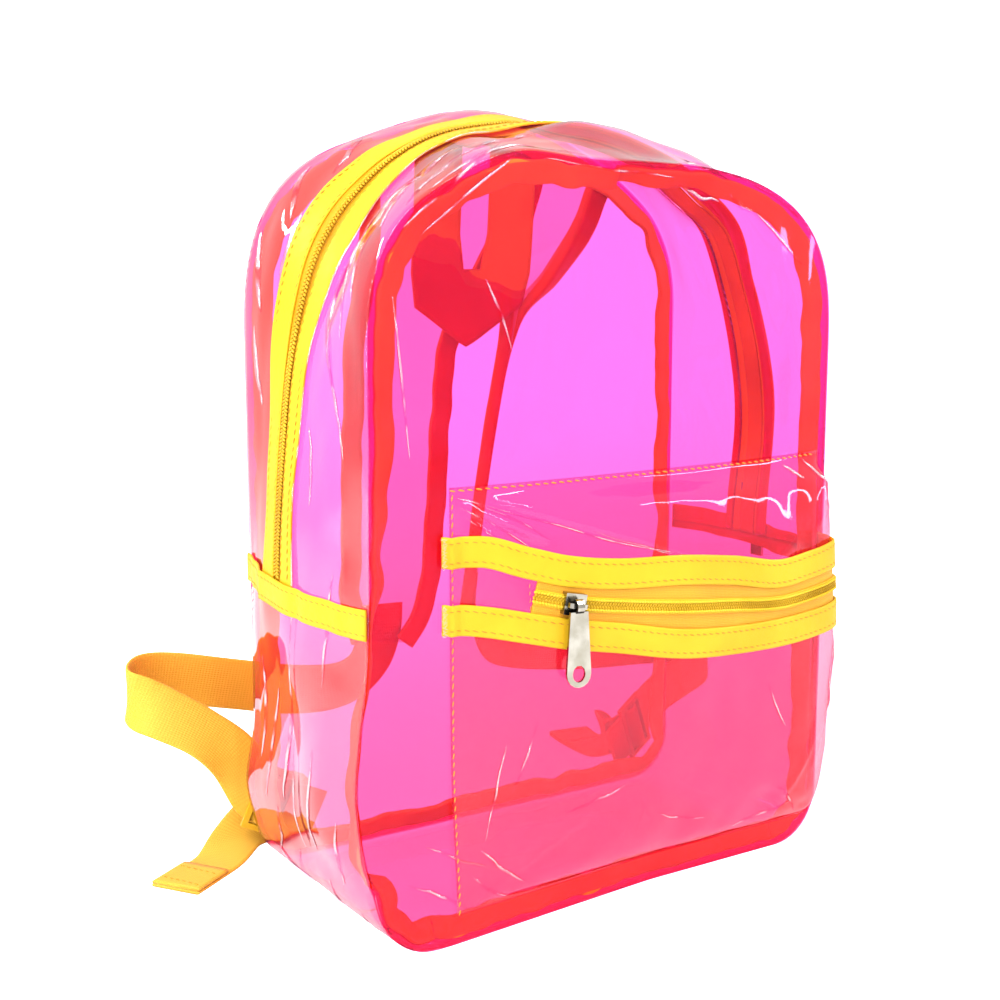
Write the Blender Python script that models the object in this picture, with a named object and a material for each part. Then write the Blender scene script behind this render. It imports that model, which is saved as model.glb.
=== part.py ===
# Clear stadium backpack: see-through film shell, yellow zips, bands and straps.
# The front faces -Y, the wearer's back +Y, and the bag stands on z = 0.
import math

import bmesh
import bpy
from mathutils import Vector

for thing in list(bpy.data.objects):
    bpy.data.objects.remove(thing, do_unlink=True)

# Driving dimensions, all in millimetres
MM = 0.001

BAG_WIDTH = 240.0
SEAM_HEIGHT = 315.0
BAG_DEPTH = 112.0
CORNER_RADIUS = 24.0
ARCH_RISE = 80.0
ARCH_POWER = 2.5
SIDE_CROWN = 9.0
TOP_CROWN = 14.0
FRONT_BULGE = 10.0
BACK_BULGE = 5.0

FILM = 1.0
GAP = 0.3
FLANGE = 11.0
BINDING_WIDTH = 8.0
BINDING_WALL = 0.6
BINDING_START = 4.0

ZIP_WIDTH = 28.0
ZIP_CENTRE = 7.0
ZIP_LAP = 6.0
TAPE = 0.8
COIL_WIDTH = 6.0
COIL_HEIGHT = 2.0
BAND_HEIGHT = 138.0
BAND_WIDTH = 12.6
BAND_WALL = 1.2
BAND_SWAY = 2.3
BAND_CLEARANCE = 0.7

POCKET_LEFT = -88.0
POCKET_RIGHT = 113.0
POCKET_BOTTOM = 14.0
POCKET_TOP = 188.0
POCKET_DEPTH = 21.0
POCKET_LIFT = 0.6
POCKET_COIL_WIDTH = 5.0
BAND_TAIL = 4.0
POCKET_TAB = 30.0

SLIDER_LENGTH = 9.0
SLIDER_WALL = 1.1
SLIDER_CLEARANCE = 0.8
SLIDER_TOP = 1.3
ARCH_WIDTH = 2.0
ARCH_BAR = 1.4
ARCH_POST = 1.3
ARCH_ROOT = 0.5
ARCH_WINDOW = 5.0
KNUCKLE_BORE = 1.8
KNUCKLE_WALL = 1.1
KNUCKLE_WIDTH = 3.0
PULL_LENGTH = 33.0
PULL_TOP_WIDTH = 7.5
PULL_END_WIDTH = 10.5
PULL_THICKNESS = 1.6
PULL_HOLE_LENGTH = 7.0
PULL_HOLE_WIDTH = 5.5
PULL_RIM = 2.2
SLIDER_PLACE = 45.0
MAIN_SLIDER_RISE = 14.0

WEBBING_WIDTH = 25.0
WEBBING = 1.6
HANDLE_SPREAD = 41.0
HANDLE_DROP = 58.0
HANDLE_POINT = 15.0
HANDLE_INSET = 9.0
HANDLE_CLEARANCE = 0.7
HANDLE_LEAN = 7.0
PAD_WIDTH = 46.0
PAD_EDGE_WIDTH = 9.0
PAD_EDGE_WALL = 1.0
PAD_END_WIDTH = 29.0
ADJUSTER_LENGTH = 19.0
ADJUSTER_WALL = 2.4
ADJUSTER_BAR = 2.6
ADJUSTER_PLACE = (0.892, 0.098, 0.0794)
WEAVE_CLEARANCE = 0.45
WEAVE_SLOPE = 1.5
TAB_WIDTH = 24.0
TAB_INSET = 33.0
TAB_RISE = 16.0
TAB_CLEARANCE = 1.2

# Stations round the outline and across each surface
BOTTOM_STEPS = 3
CORNER_STEPS = 4
LOWER_SIDE_STEPS = 3
UPPER_SIDE_STEPS = 3
ARCH_STEPS = 9
PANEL_RINGS = (0.93, 0.82, 0.64, 0.42, 0.2)
PANEL_CENTRE = 150.0
BULGE_POWER = 2.6

# How the pocket rises from its stitch line: place across and share of its depth
POCKET_ACROSS = (
    (-0.03, 0.0), (0.0, 0.0), (0.05, 0.2), (0.12, 0.46), (0.21, 0.72), (0.32, 0.9),
    (0.46, 1.0), (0.62, 1.0), (0.78, 0.98), (0.9, 0.96), (0.95, 0.9), (0.972, 0.78),
    (0.985, 0.5), (1.0, 0.0),
)
# Level up the pocket (0 bottom, 1 lower band, 2 upper band, 3 top stitch) and share of its depth
POCKET_UP = (
    (0.0, 0.0), (0.05, 0.38), (0.13, 0.66), (0.3, 0.88), (0.6, 0.98), (1.0, 1.0),
    (2.0, 0.92), (2.3, 0.86), (2.7, 0.62), (3.0, 0.0),
)
# Place across the pocket, height of the lower and of the upper band as shares of the pocket's height
BAND_PATHS = (
    (-0.03, 0.70, 0.855), (0.05, 0.695, 0.855), (0.14, 0.675, 0.825), (0.22, 0.655, 0.8),
    (0.32, 0.635, 0.785), (0.48, 0.598, 0.775), (0.62, 0.583, 0.755), (0.78, 0.577, 0.725),
    (0.9, 0.582, 0.735), (1.0, 0.592, 0.745),
)


def lerp_table(table, at, column=1):
    # Reads a column of a table at a place between its rows
    for low, high in zip(table, table[1:]):
        if at <= high[0]:
            share = (at - low[0]) / (high[0] - low[0])
            return low[column] + (high[column] - low[column]) * max(share, 0.0)
    return table[-1][column]


def smooth(value):
    value = min(max(value, 0.0), 1.0)
    return value * value * (3 - 2 * value)


# Outline of the bag seen from the front

def half_outline():
    half, spring = BAG_WIDTH / 2, SEAM_HEIGHT - ARCH_RISE
    points = [((half - CORNER_RADIUS) * i / BOTTOM_STEPS, 0.0) for i in range(BOTTOM_STEPS)]
    for i in range(CORNER_STEPS):
        turn = -math.pi / 2 + math.pi / 2 * i / CORNER_STEPS
        points.append((
            half - CORNER_RADIUS + CORNER_RADIUS * math.cos(turn),
            CORNER_RADIUS + CORNER_RADIUS * math.sin(turn),
        ))
    for low, high, steps in (
        (CORNER_RADIUS, BAND_HEIGHT, LOWER_SIDE_STEPS),
        (BAND_HEIGHT, spring, UPPER_SIDE_STEPS),
    ):
        points += [(half, low + (high - low) * i / steps) for i in range(steps)]
    for i in range(ARCH_STEPS + 1):
        turn = math.pi / 2 * i / ARCH_STEPS
        points.append((
            half * max(math.cos(turn), 0.0) ** (2 / ARCH_POWER),
            spring + ARCH_RISE * math.sin(turn) ** (2 / ARCH_POWER),
        ))
    points[-1] = (0.0, SEAM_HEIGHT)
    return points


RIGHT_HALF = half_outline()
OUTLINE = RIGHT_HALF + [(-x, z) for x, z in RIGHT_HALF[-2:0:-1]]
COUNT = len(OUTLINE)
BAND_STATION = BOTTOM_STEPS + CORNER_STEPS + LOWER_SIDE_STEPS


def inward(index):
    # Unit direction into the bag, square to the outline
    x0, z0 = OUTLINE[(index - 1) % COUNT]
    x1, z1 = OUTLINE[(index + 1) % COUNT]
    return Vector((z0 - z1, 0.0, x1 - x0)).normalized()


INWARD = [inward(i) for i in range(COUNT)]


def at_station(index, depth_in, y):
    # Point at a distance inside the outline, at a depth through the bag
    x, z = OUTLINE[index % COUNT]
    return Vector((x, y, z)) + INWARD[index % COUNT] * depth_in


def crown_at(index):
    # How far the gusset stands out halfway through the bag: none at the floor
    z = OUTLINE[index % COUNT][1]
    side = SIDE_CROWN * smooth((z - CORNER_RADIUS / 2) / (SEAM_HEIGHT / 4))
    top = smooth((z - (SEAM_HEIGHT - ARCH_RISE)) / ARCH_RISE)
    return side + (TOP_CROWN - SIDE_CROWN) * top


def gusset_rise(index, y):
    return crown_at(index) * (1 - (2 * y / BAG_DEPTH) ** 2)


def gusset_point(index, y):
    return at_station(index, -gusset_rise(index, y), y)


def share_to_outline(x, z):
    # 0 in the middle of a panel, 1 on its seam
    for i in range(COUNT):
        ax, az = OUTLINE[i][0], OUTLINE[i][1] - PANEL_CENTRE
        bx, bz = OUTLINE[(i + 1) % COUNT][0], OUTLINE[(i + 1) % COUNT][1] - PANEL_CENTRE
        across = ax * bz - az * bx
        first = (x * bz - (z - PANEL_CENTRE) * bx) / across
        second = (ax * (z - PANEL_CENTRE) - az * x) / across
        if first >= -1e-9 and second >= -1e-9:
            return first + second
    return 1.0


def bulge_at(share, bulge):
    return bulge * (1 - min(share, 1.0) ** BULGE_POWER)


def front_y(x, z):
    return -BAG_DEPTH / 2 - bulge_at(share_to_outline(x, z), FRONT_BULGE)


def back_y(x, z):
    return BAG_DEPTH / 2 + bulge_at(share_to_outline(x, z), BACK_BULGE)


# Mesh builders

def make_object(name, points, faces, material):
    mesh = bpy.data.meshes.new(name)
    mesh.from_pydata([tuple(p * MM) for p in points], [], faces)
    work = bmesh.new()
    work.from_mesh(mesh)
    bmesh.ops.recalc_face_normals(work, faces=work.faces)
    work.to_mesh(mesh)
    work.free()
    mesh.shade_smooth()
    mesh.set_sharp_from_angle(angle=math.radians(35))
    mesh.materials.append(material)
    obj = bpy.data.objects.new(name, mesh)
    bpy.context.scene.collection.objects.link(obj)
    return obj


def skin(rings, closed):
    # Faces between rings of equal length, with caps where the run is open
    size = len(rings[0])
    points = [p for ring in rings for p in ring]
    faces = []
    for r in range(len(rings) if closed else len(rings) - 1):
        a, b = r * size, (r + 1) % len(rings) * size
        faces += [(a + i, a + (i + 1) % size, b + (i + 1) % size, b + i) for i in range(size)]
    if not closed:
        faces.append(tuple(range(size)))
        faces.append(tuple(range(len(points) - size, len(points))))
    return points, faces


def sweep(name, rings, material, closed=False):
    points, faces = skin(rings, closed)
    return make_object(name, points, faces, material)


def sheet(name, grid, low, high, material):
    # A thin solid over a grid of points, between two heights along the grid's own normal
    rows, columns = len(grid), len(grid[0])
    rings = []
    for i in range(rows):
        top, bottom = [], []
        for j in range(columns):
            along = grid[min(i + 1, rows - 1)][j] - grid[max(i - 1, 0)][j]
            aside = grid[i][min(j + 1, columns - 1)] - grid[i][max(j - 1, 0)]
            normal = along.cross(aside).normalized()
            top.append(grid[i][j] + normal * high)
            bottom.append(grid[i][j] + normal * low)
        rings.append(top + bottom[::-1])
    points, faces = skin(rings, False)
    faces = faces[:-2]
    size = 2 * columns
    for start in (0, len(points) - size):
        for j in range(columns - 1):
            faces.append((start + j, start + j + 1, start + size - 2 - j, start + size - 1 - j))
    return make_object(name, points, faces, material)


def spline(points, steps):
    # Smooth curve through the given rows of numbers
    result = []
    for i in range(len(points) - 1):
        ring = [points[max(i - 1, 0)], points[i], points[i + 1], points[min(i + 2, len(points) - 1)]]
        for s in range(steps):
            t = s / steps
            weights = (
                -0.5 * t + t * t - 0.5 * t ** 3, 1 - 2.5 * t * t + 1.5 * t ** 3,
                0.5 * t + 2 * t * t - 1.5 * t ** 3, -0.5 * t * t + 0.5 * t ** 3,
            )
            result.append([sum(w * p[k] for w, p in zip(weights, ring)) for k in range(len(points[0]))])
    result.append(list(points[-1]))
    return result


def box(name, low, high, frame, material):
    corners = [
        frame(a, b, c)
        for a in (low[0], high[0]) for b in (low[1], high[1]) for c in (low[2], high[2])
    ]
    faces = [(0, 1, 3, 2), (4, 6, 7, 5), (0, 4, 5, 1), (2, 3, 7, 6), (0, 2, 6, 4), (1, 5, 7, 3)]
    return make_object(name, corners, faces, material)


def combine(target, other, operation):
    other.hide_render = True
    other.display_type = "WIRE"
    modifier = target.modifiers.new(operation.title(), "BOOLEAN")
    modifier.operation = operation
    modifier.solver = "EXACT"
    modifier.object = other


# Materials

def material(name, colour, roughness, metallic=0.0, alpha=1.0):
    result = bpy.data.materials.new(name)
    result.use_nodes = True
    shader = result.node_tree.nodes["Principled BSDF"]
    shader.inputs["Base Color"].default_value = (*colour, 1.0)
    shader.inputs["Roughness"].default_value = roughness
    shader.inputs["Metallic"].default_value = metallic
    shader.inputs["Alpha"].default_value = alpha
    return result


PINK_FILM = material("pink_film", (1.0, 0.28, 0.75), 0.08, alpha=0.45)
YELLOW_VINYL = material("yellow_vinyl", (1.0, 0.70, 0.03), 0.35)
YELLOW_TAPE = material("yellow_tape", (1.0, 0.62, 0.02), 0.6)
YELLOW_WEBBING = material("yellow_webbing", (1.0, 0.68, 0.03), 0.5)
NICKEL = material("nickel", (0.62, 0.58, 0.52), 0.25, metallic=1.0)


# Seam allowance: both films turn in along the diagonal between panel and gusset

def diagonal(along, aside):
    # From the seam's diagonal to inset from the outline and depth behind the panel
    return (along - aside) / math.sqrt(2), (along + aside) / math.sqrt(2)


def seam_point(index, pair, side):
    inset, depth = pair
    return at_station(index, inset, side * (BAG_DEPTH / 2 - depth))


def flange_pairs():
    # Outer corner, outer tip, inner tip and inner corner of a turned-in film
    half = GAP / 2
    return (
        (half, half), (FLANGE, half), (FLANGE, half + FILM),
        (FILM * math.sqrt(2) + half + FILM, half + FILM),
    )


def panel(name, side, bulge):
    corner, tip, inner_tip, inner_corner = [diagonal(a, -q) for a, q in flange_pairs()]
    centre = Vector((0.0, 0.0, PANEL_CENTRE))

    def ring(share, wall):
        rise = BAG_DEPTH / 2 + bulge_at(share, bulge) - wall
        points = []
        for x, z in OUTLINE:
            flat = centre + (Vector((x, 0.0, z)) - centre) * share
            points.append(Vector((flat.x, side * rise, flat.z)))
        return points

    def seam_ring(pair):
        return [seam_point(i, pair, side) for i in range(COUNT)]

    rings = [ring(share, 0.0) for share in reversed(PANEL_RINGS)]
    rings += [seam_ring(corner), seam_ring(tip), seam_ring(inner_tip), seam_ring(inner_corner)]
    rings += [ring(share, FILM) for share in PANEL_RINGS]
    points, faces = skin(rings, False)
    faces = faces[:-2]
    last = len(rings) - 1
    for first, wall in ((0, 0.0), (last, FILM)):
        pole = len(points)
        points.append(Vector((0.0, side * (BAG_DEPTH / 2 + bulge - wall), PANEL_CENTRE)))
        faces += [(first * COUNT + i, first * COUNT + (i + 1) % COUNT, pole) for i in range(COUNT)]
    make_object(name, points, faces, PINK_FILM)


def seam_binding(name, side):
    # Folded ribbon over the turned-in edges, all round the seam
    inner = GAP / 2 + FILM + GAP
    outer = inner + BINDING_WALL
    start, fold = BINDING_START, BINDING_START + BINDING_WIDTH
    profile = (
        (start, -outer), (fold, -outer), (fold, outer), (start, outer),
        (start, inner), (FLANGE + GAP, inner), (FLANGE + GAP, -inner), (start, -inner),
    )
    rings = [[seam_point(i, diagonal(a, q), side) for a, q in profile] for i in range(COUNT)]
    sweep(name, rings, YELLOW_VINYL, closed=True)


def gusset(name, stations, front, back, columns):
    # A strip of film round the bag; front and back say which edges turn in at a seam
    corner, tip, inner_tip, inner_corner = [diagonal(a, q) for a, q in flange_pairs()]
    rings = []
    for index, trim in stations:
        outer = [at_station(index, -gusset_rise(index, y), y) for y in columns]
        inner = [at_station(index, FILM - gusset_rise(index, y), y) for y in columns]
        if front:
            outer = [seam_point(index, tip, -1), seam_point(index, corner, -1)] + outer
            inner = [seam_point(index, inner_tip, -1), seam_point(index, inner_corner, -1)] + inner
        if back:
            outer += [seam_point(index, corner, 1), seam_point(index, tip, 1)]
            inner += [seam_point(index, inner_corner, 1), seam_point(index, inner_tip, 1)]
        ring = outer + inner[::-1]
        rings.append([p + trim for p in ring])
    sweep(name, rings, PINK_FILM)


def trimmed(first, last, short=GAP / 2):
    # Stations from one band to the other, each end pulled back a little
    step = 1 if last > first else -1
    result = [(i, Vector()) for i in range(first, last + step, step)]
    for end, nearby in ((0, 1), (-1, -2)):
        x0, z0 = OUTLINE[result[end][0] % COUNT]
        x1, z1 = OUTLINE[result[nearby][0] % COUNT]
        back = Vector((x1 - x0, 0.0, z1 - z0)).normalized() * short
        result[end] = (result[end][0], back)
    return result


def columns_between(low, high, count):
    return [low + (high - low) * i / count for i in range(count + 1)]


def shell():
    panel("front_panel", -1, FRONT_BULGE)
    panel("back_panel", 1, BACK_BULGE)
    seam_binding("front_seam_binding", -1)
    seam_binding("back_seam_binding", 1)
    edge = BAG_DEPTH / 2 - 4 * FILM
    lower = trimmed(-BAND_STATION, BAND_STATION)
    gusset("gusset_lower", lower, True, True, columns_between(-edge, edge, 6))
    upper = trimmed(BAND_STATION, COUNT - BAND_STATION)
    zip_front = ZIP_CENTRE - ZIP_WIDTH / 2 + ZIP_LAP
    zip_back = ZIP_CENTRE + ZIP_WIDTH / 2 - ZIP_LAP
    gusset("gusset_upper_front", upper, True, False, columns_between(-edge, zip_front, 4))
    gusset("gusset_upper_back", upper, False, True, columns_between(zip_back, edge, 3))


# Main zip over the gusset

ZIP_LIFT = GAP
COIL_LIFT = ZIP_LIFT + TAPE + GAP


def gusset_strip(name, low_y, high_y, columns, low, high, surface, short=GAP / 2):
    stations = trimmed(BAND_STATION, COUNT - BAND_STATION, short)
    grid = [
        [gusset_point(i, y) + trim for y in columns_between(low_y, high_y, columns)]
        for i, trim in stations
    ]
    sheet(name, grid, -high, -low, surface)


def main_zip():
    half = ZIP_WIDTH / 2
    gusset_strip(
        "main_zip_tape", ZIP_CENTRE - half, ZIP_CENTRE + half, 4, ZIP_LIFT, ZIP_LIFT + TAPE, YELLOW_TAPE,
    )
    half = COIL_WIDTH / 2
    gusset_strip(
        "main_zip_coil", ZIP_CENTRE - half, ZIP_CENTRE + half, 2,
        COIL_LIFT, COIL_LIFT + COIL_HEIGHT, YELLOW_TAPE, BAND_WIDTH / 2 + BAND_SWAY + GAP,
    )


def side_band(name, side):
    # Vinyl strip over the gusset's joint, swaying a little, lifted where it covers the zip
    rows = columns_between(-BAG_DEPTH / 2 + FILM, BAG_DEPTH / 2 - FILM, 14)
    grid = []
    for y in rows:
        sway = BAND_SWAY * math.tanh(y / (BAG_DEPTH / 4))
        over_zip = 1 - smooth((abs(y - ZIP_CENTRE) - ZIP_WIDTH / 2) / ZIP_LAP)
        lift = GAP + over_zip * (TAPE + BAND_CLEARANCE)
        row = []
        for k in range(-1, 2):
            z = BAND_HEIGHT + sway + k * BAND_WIDTH / 2
            rise = gusset_rise(BAND_STATION, y)
            row.append(Vector((side * (BAG_WIDTH / 2 + rise + lift), y, z)))
        grid.append(row if side > 0 else row[::-1])
    sheet(name, grid, 0.0, BAND_WALL, YELLOW_VINYL)


# Front pocket

POCKET_WIDTH = POCKET_RIGHT - POCKET_LEFT
POCKET_HEIGHT = POCKET_TOP - POCKET_BOTTOM


def pocket_levels(across):
    lower = POCKET_BOTTOM + POCKET_HEIGHT * lerp_table(BAND_PATHS, across, 1)
    upper = POCKET_BOTTOM + POCKET_HEIGHT * lerp_table(BAND_PATHS, across, 2)
    return POCKET_BOTTOM, lower, upper, POCKET_TOP


def pocket_point(across, z):
    levels = pocket_levels(across)
    level = 3.0
    for k in range(3):
        if z <= levels[k + 1]:
            level = k + max((z - levels[k]) / (levels[k + 1] - levels[k]), 0.0)
            break
    x = POCKET_LEFT + POCKET_WIDTH * across
    depth = POCKET_DEPTH * lerp_table(POCKET_ACROSS, across) * lerp_table(POCKET_UP, level)
    return Vector((x, front_y(x, z) - POCKET_LIFT - depth, z))


def pocket_level_point(across, level):
    levels = pocket_levels(across)
    k = min(int(level), 2)
    return pocket_point(across, levels[k] + (levels[k + 1] - levels[k]) * (level - k))


POCKET_COLUMNS = (
    0.0, 0.05, 0.12, 0.21, 0.32, 0.46, 0.62, 0.78, 0.9, 0.95, 0.972, 0.985, 1.0,
)


def pocket_sheet(name, columns, levels, low, high, surface):
    grid = [[pocket_level_point(a, v) for v in levels] for a in columns]
    sheet(name, grid, low, high, surface)


def pocket_strip(name, columns, middle, width, low, high, surface):
    # A strip that follows a band's height across the pocket
    grid = []
    for across in columns:
        levels = pocket_levels(across)
        k = min(int(middle), 2)
        z = levels[k] + (levels[k + 1] - levels[k]) * (middle - k)
        grid.append([
            pocket_point(across, z + width * share) for share in (-0.5, 0.0, 0.5)
        ])
    sheet(name, grid, low, high, surface)


def pocket():
    pocket_sheet(
        "pocket_lower", POCKET_COLUMNS, (0.0, 0.05, 0.13, 0.3, 0.6, 0.985), 0.0, FILM, PINK_FILM,
    )
    pocket_sheet("pocket_upper", POCKET_COLUMNS, (2.03, 2.3, 2.7, 2.99), 0.0, FILM, PINK_FILM)
    tab = POCKET_TAB / POCKET_WIDTH
    seam = GAP / POCKET_WIDTH
    tab_columns = [c for c in POCKET_COLUMNS if c < tab - 0.01] + [tab - seam]
    tape_columns = [tab + seam] + [c for c in POCKET_COLUMNS if c > tab + 0.01]
    pocket_sheet("pocket_zip_tab", tab_columns, (1.03, 1.5, 1.97), 0.0, FILM, PINK_FILM)
    pocket_sheet("pocket_zip_tape", tape_columns, (1.03, 1.5, 1.97), 0.0, TAPE, YELLOW_TAPE)
    pocket_strip(
        "pocket_zip_coil", tape_columns, 1.5, POCKET_COIL_WIDTH, TAPE + GAP, TAPE + GAP + COIL_HEIGHT,
        YELLOW_TAPE,
    )
    band_columns = [-BAND_TAIL / POCKET_WIDTH] + list(POCKET_COLUMNS)
    for name, middle in (("pocket_band_lower", 1), ("pocket_band_upper", 2)):
        pocket_strip(
            name, band_columns, middle, BAND_WIDTH, FILM + GAP, FILM + GAP + BAND_WALL, YELLOW_VINYL,
        )


# Zip sliders

def slider_solid(name, frame, coil):
    # frame(along, up, out) gives a point: along the zip, across it, out from the tape
    plate_low = TAPE + GAP + COIL_HEIGHT + SLIDER_CLEARANCE
    plate_top = plate_low + SLIDER_TOP
    channel = coil / 2 + SLIDER_CLEARANCE
    half_length, half_width = SLIDER_LENGTH / 2, channel + SLIDER_WALL
    body = box(
        name, (-half_length, -half_width, TAPE + GAP), (half_length, half_width, plate_top), frame, NICKEL,
    )
    cutter = box(
        name + "_channel", (-SLIDER_LENGTH, -channel, 0.0), (SLIDER_LENGTH, channel, plate_low),
        frame, NICKEL,
    )
    combine(body, cutter, "DIFFERENCE")
    bar = bar_height()
    window = ARCH_WINDOW / 2
    outer = [
        (-window - ARCH_POST, plate_top - ARCH_ROOT), (window + ARCH_POST, plate_top - ARCH_ROOT),
        (window + ARCH_POST, bar), (window, bar + ARCH_BAR / 2),
        (-window, bar + ARCH_BAR / 2), (-window - ARCH_POST, bar),
    ]
    hole = [
        (-window, plate_top - ARCH_ROOT / 2), (window, plate_top - ARCH_ROOT / 2),
        (window, bar - ARCH_BAR), (window * 0.68, bar - ARCH_BAR / 2),
        (-window * 0.68, bar - ARCH_BAR / 2), (-window, bar - ARCH_BAR),
    ]
    rings = []
    for outline, up in ((outer, -1), (outer, 1), (hole, 1), (hole, -1)):
        rings.append([frame(a, up * ARCH_WIDTH / 2, o) for a, o in outline])
    arch = sweep(name + "_arch", rings, NICKEL, closed=True)
    combine(body, arch, "UNION")
    return body


def bar_height():
    # Height of the pull's axis over the tape
    plate_top = TAPE + GAP + COIL_HEIGHT + SLIDER_CLEARANCE + SLIDER_TOP
    return plate_top + KNUCKLE_BORE + KNUCKLE_WALL + GAP


def pull_solid(name, frame):
    # Plate with an eye at its end and a knuckle round the slider's bar
    bar = bar_height()
    hole_u = -PULL_LENGTH + PULL_HOLE_LENGTH / 2 + PULL_RIM
    top_u = -KNUCKLE_BORE - GAP
    end, top = PULL_END_WIDTH / 2, PULL_TOP_WIDTH / 2
    middle_u = (hole_u + top_u) / 2
    upper = [(end, hole_u), ((end + top) / 2, middle_u), (top, top_u)]
    upper += [(-a, u) for a, u in reversed(upper)]
    lower_turns = [math.pi * (1 + k / 8) for k in range(1, 8)]
    plate = upper + [
        (end * math.cos(t), hole_u + (PULL_LENGTH + hole_u) * math.sin(t)) for t in lower_turns
    ]
    turns = [math.radians(d) for d in (0, 35, 70, 110, 145, 180)] + lower_turns
    eye = [
        (PULL_HOLE_WIDTH / 2 * math.cos(t), hole_u + PULL_HOLE_LENGTH / 2 * math.sin(t)) for t in turns
    ]
    half = PULL_THICKNESS / 2
    rings = []
    for outline, out in ((plate, -half), (plate, half), (eye, half), (eye, -half)):
        rings.append([frame(a, u, bar + out) for a, u in outline])
    body = sweep(name, rings, NICKEL, closed=True)
    rings = []
    sides = 12
    for radius, along in (
        (KNUCKLE_BORE + KNUCKLE_WALL, -1), (KNUCKLE_BORE + KNUCKLE_WALL, 1),
        (KNUCKLE_BORE, 1), (KNUCKLE_BORE, -1),
    ):
        rings.append([
            frame(
                along * KNUCKLE_WIDTH / 2, radius * math.cos(2 * math.pi * k / sides),
                bar + radius * math.sin(2 * math.pi * k / sides),
            ) for k in range(sides)
        ])
    knuckle = sweep(name + "_knuckle", rings, NICKEL, closed=True)
    combine(body, knuckle, "UNION")
    return body


def frame_on(origin, along, up):
    along = along.normalized()
    out = along.cross(up).normalized()
    up = out.cross(along)
    return lambda a, u, o: origin + along * a + up * u + out * o


def pocket_slider_frame(level):
    # On the pocket's coil; level keeps the zip's direction horizontal, as the pull hangs
    across = SLIDER_PLACE / POCKET_WIDTH
    near = SLIDER_LENGTH / 4 / POCKET_WIDTH
    before = pocket_level_point(across - near, 1.5)
    after = pocket_level_point(across + near, 1.5)
    along = after - before
    if level:
        along.z = 0.0
    return frame_on((before + after) / 2, along, Vector((0.0, 0.0, 1.0)))


def main_slider():
    # Closed zip: the slider stands just over the right side band, its pull hanging in one piece with it
    before = gusset_point(BAND_STATION, ZIP_CENTRE - COIL_WIDTH / 2)
    after = gusset_point(BAND_STATION, ZIP_CENTRE + COIL_WIDTH / 2)
    origin = gusset_point(BAND_STATION, ZIP_CENTRE)
    origin += Vector((ZIP_LIFT, 0.0, BAND_WIDTH / 2 + MAIN_SLIDER_RISE))
    frame = frame_on(origin, Vector((0.0, 0.0, 1.0)), before - after)
    body = slider_solid("main_zip_slider", frame, COIL_WIDTH)
    bar, half, width = bar_height(), PULL_THICKNESS / 2, PULL_TOP_WIDTH / 2
    pull = box(
        "main_zip_slider_pull", (-PULL_LENGTH, -width, bar - half), (ARCH_WINDOW / 2, width, bar + half),
        frame, NICKEL,
    )
    combine(body, pull, "UNION")


# Straps, all behind the back panel

# Strap paths: shares of half the bag's width, of its depth behind the back seam and of its height,
# then the direction of the strap's width and, on the pads, the width itself
UP, DOWN, ACROSS = (0.0, 0.0, 1.0), (0.0, 0.0, -1.0), (1.0, 0.0, 0.0)

LEFT_PAD = (
    (-0.275, 0.050, 0.949, *ACROSS, PAD_WIDTH), (-0.275, 0.089, 0.902, *ACROSS, PAD_WIDTH),
    (-0.275, 0.170, 0.778, *ACROSS, PAD_WIDTH), (-0.275, 0.214, 0.635, *ACROSS, PAD_WIDTH),
    (-0.283, 0.241, 0.476, *ACROSS, PAD_WIDTH), (-0.300, 0.250, 0.349, *ACROSS, PAD_WIDTH),
    (-0.317, 0.250, 0.279, *ACROSS, PAD_END_WIDTH),
)
RIGHT_PAD = (
    (0.500, 0.050, 0.911, *ACROSS, PAD_WIDTH), (0.483, 0.116, 0.870, 1, 0.12, 0, PAD_WIDTH),
    (0.442, 0.223, 0.822, 1, 0.6, 0, PAD_WIDTH), (0.358, 0.321, 0.756, 1, 1.3, 0, PAD_WIDTH),
    (0.317, 0.393, 0.635, 1, 1.5, 0, PAD_WIDTH), (0.283, 0.438, 0.508, 1, 1.5, 0, PAD_WIDTH),
    (0.250, 0.464, 0.381, 1, 1.5, 0, PAD_WIDTH), (0.217, 0.464, 0.305, 1, 1.5, 0, PAD_END_WIDTH),
)
LEFT_LEAD = (
    (-0.308, 0.280, 0.337, *ACROSS), (-0.317, 0.286, 0.286, *ACROSS),
    (-0.350, 0.330, 0.238, 0.85, 0.1, -0.5), (-0.450, 0.393, 0.206, 0.3, 0.1, -0.9),
    (-0.625, 0.455, 0.203, *DOWN), (-0.875, 0.509, 0.222, *DOWN), (-1.125, 0.536, 0.244, *DOWN),
    (-1.267, 0.509, 0.251, *DOWN), (-1.342, 0.429, 0.244, *DOWN), (-1.317, 0.348, 0.225, *DOWN),
    (-1.250, 0.286, 0.200, *DOWN), (-1.125, 0.214, 0.159, *DOWN), (-1.025, 0.161, 0.124, *DOWN),
)
LEFT_TAIL = (
    (-0.867, 0.268, 0.035, 0.3, -0.6, -0.8), (-0.983, 0.232, 0.016, 0.45, -0.85, -0.25),
    (-1.108, 0.107, 0.005, 0.48, -0.87, 0), (-1.233, 0.018, 0.004, 0.48, -0.87, 0),
    (-1.358, -0.071, 0.004, 0.48, -0.87, 0),
)
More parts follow.
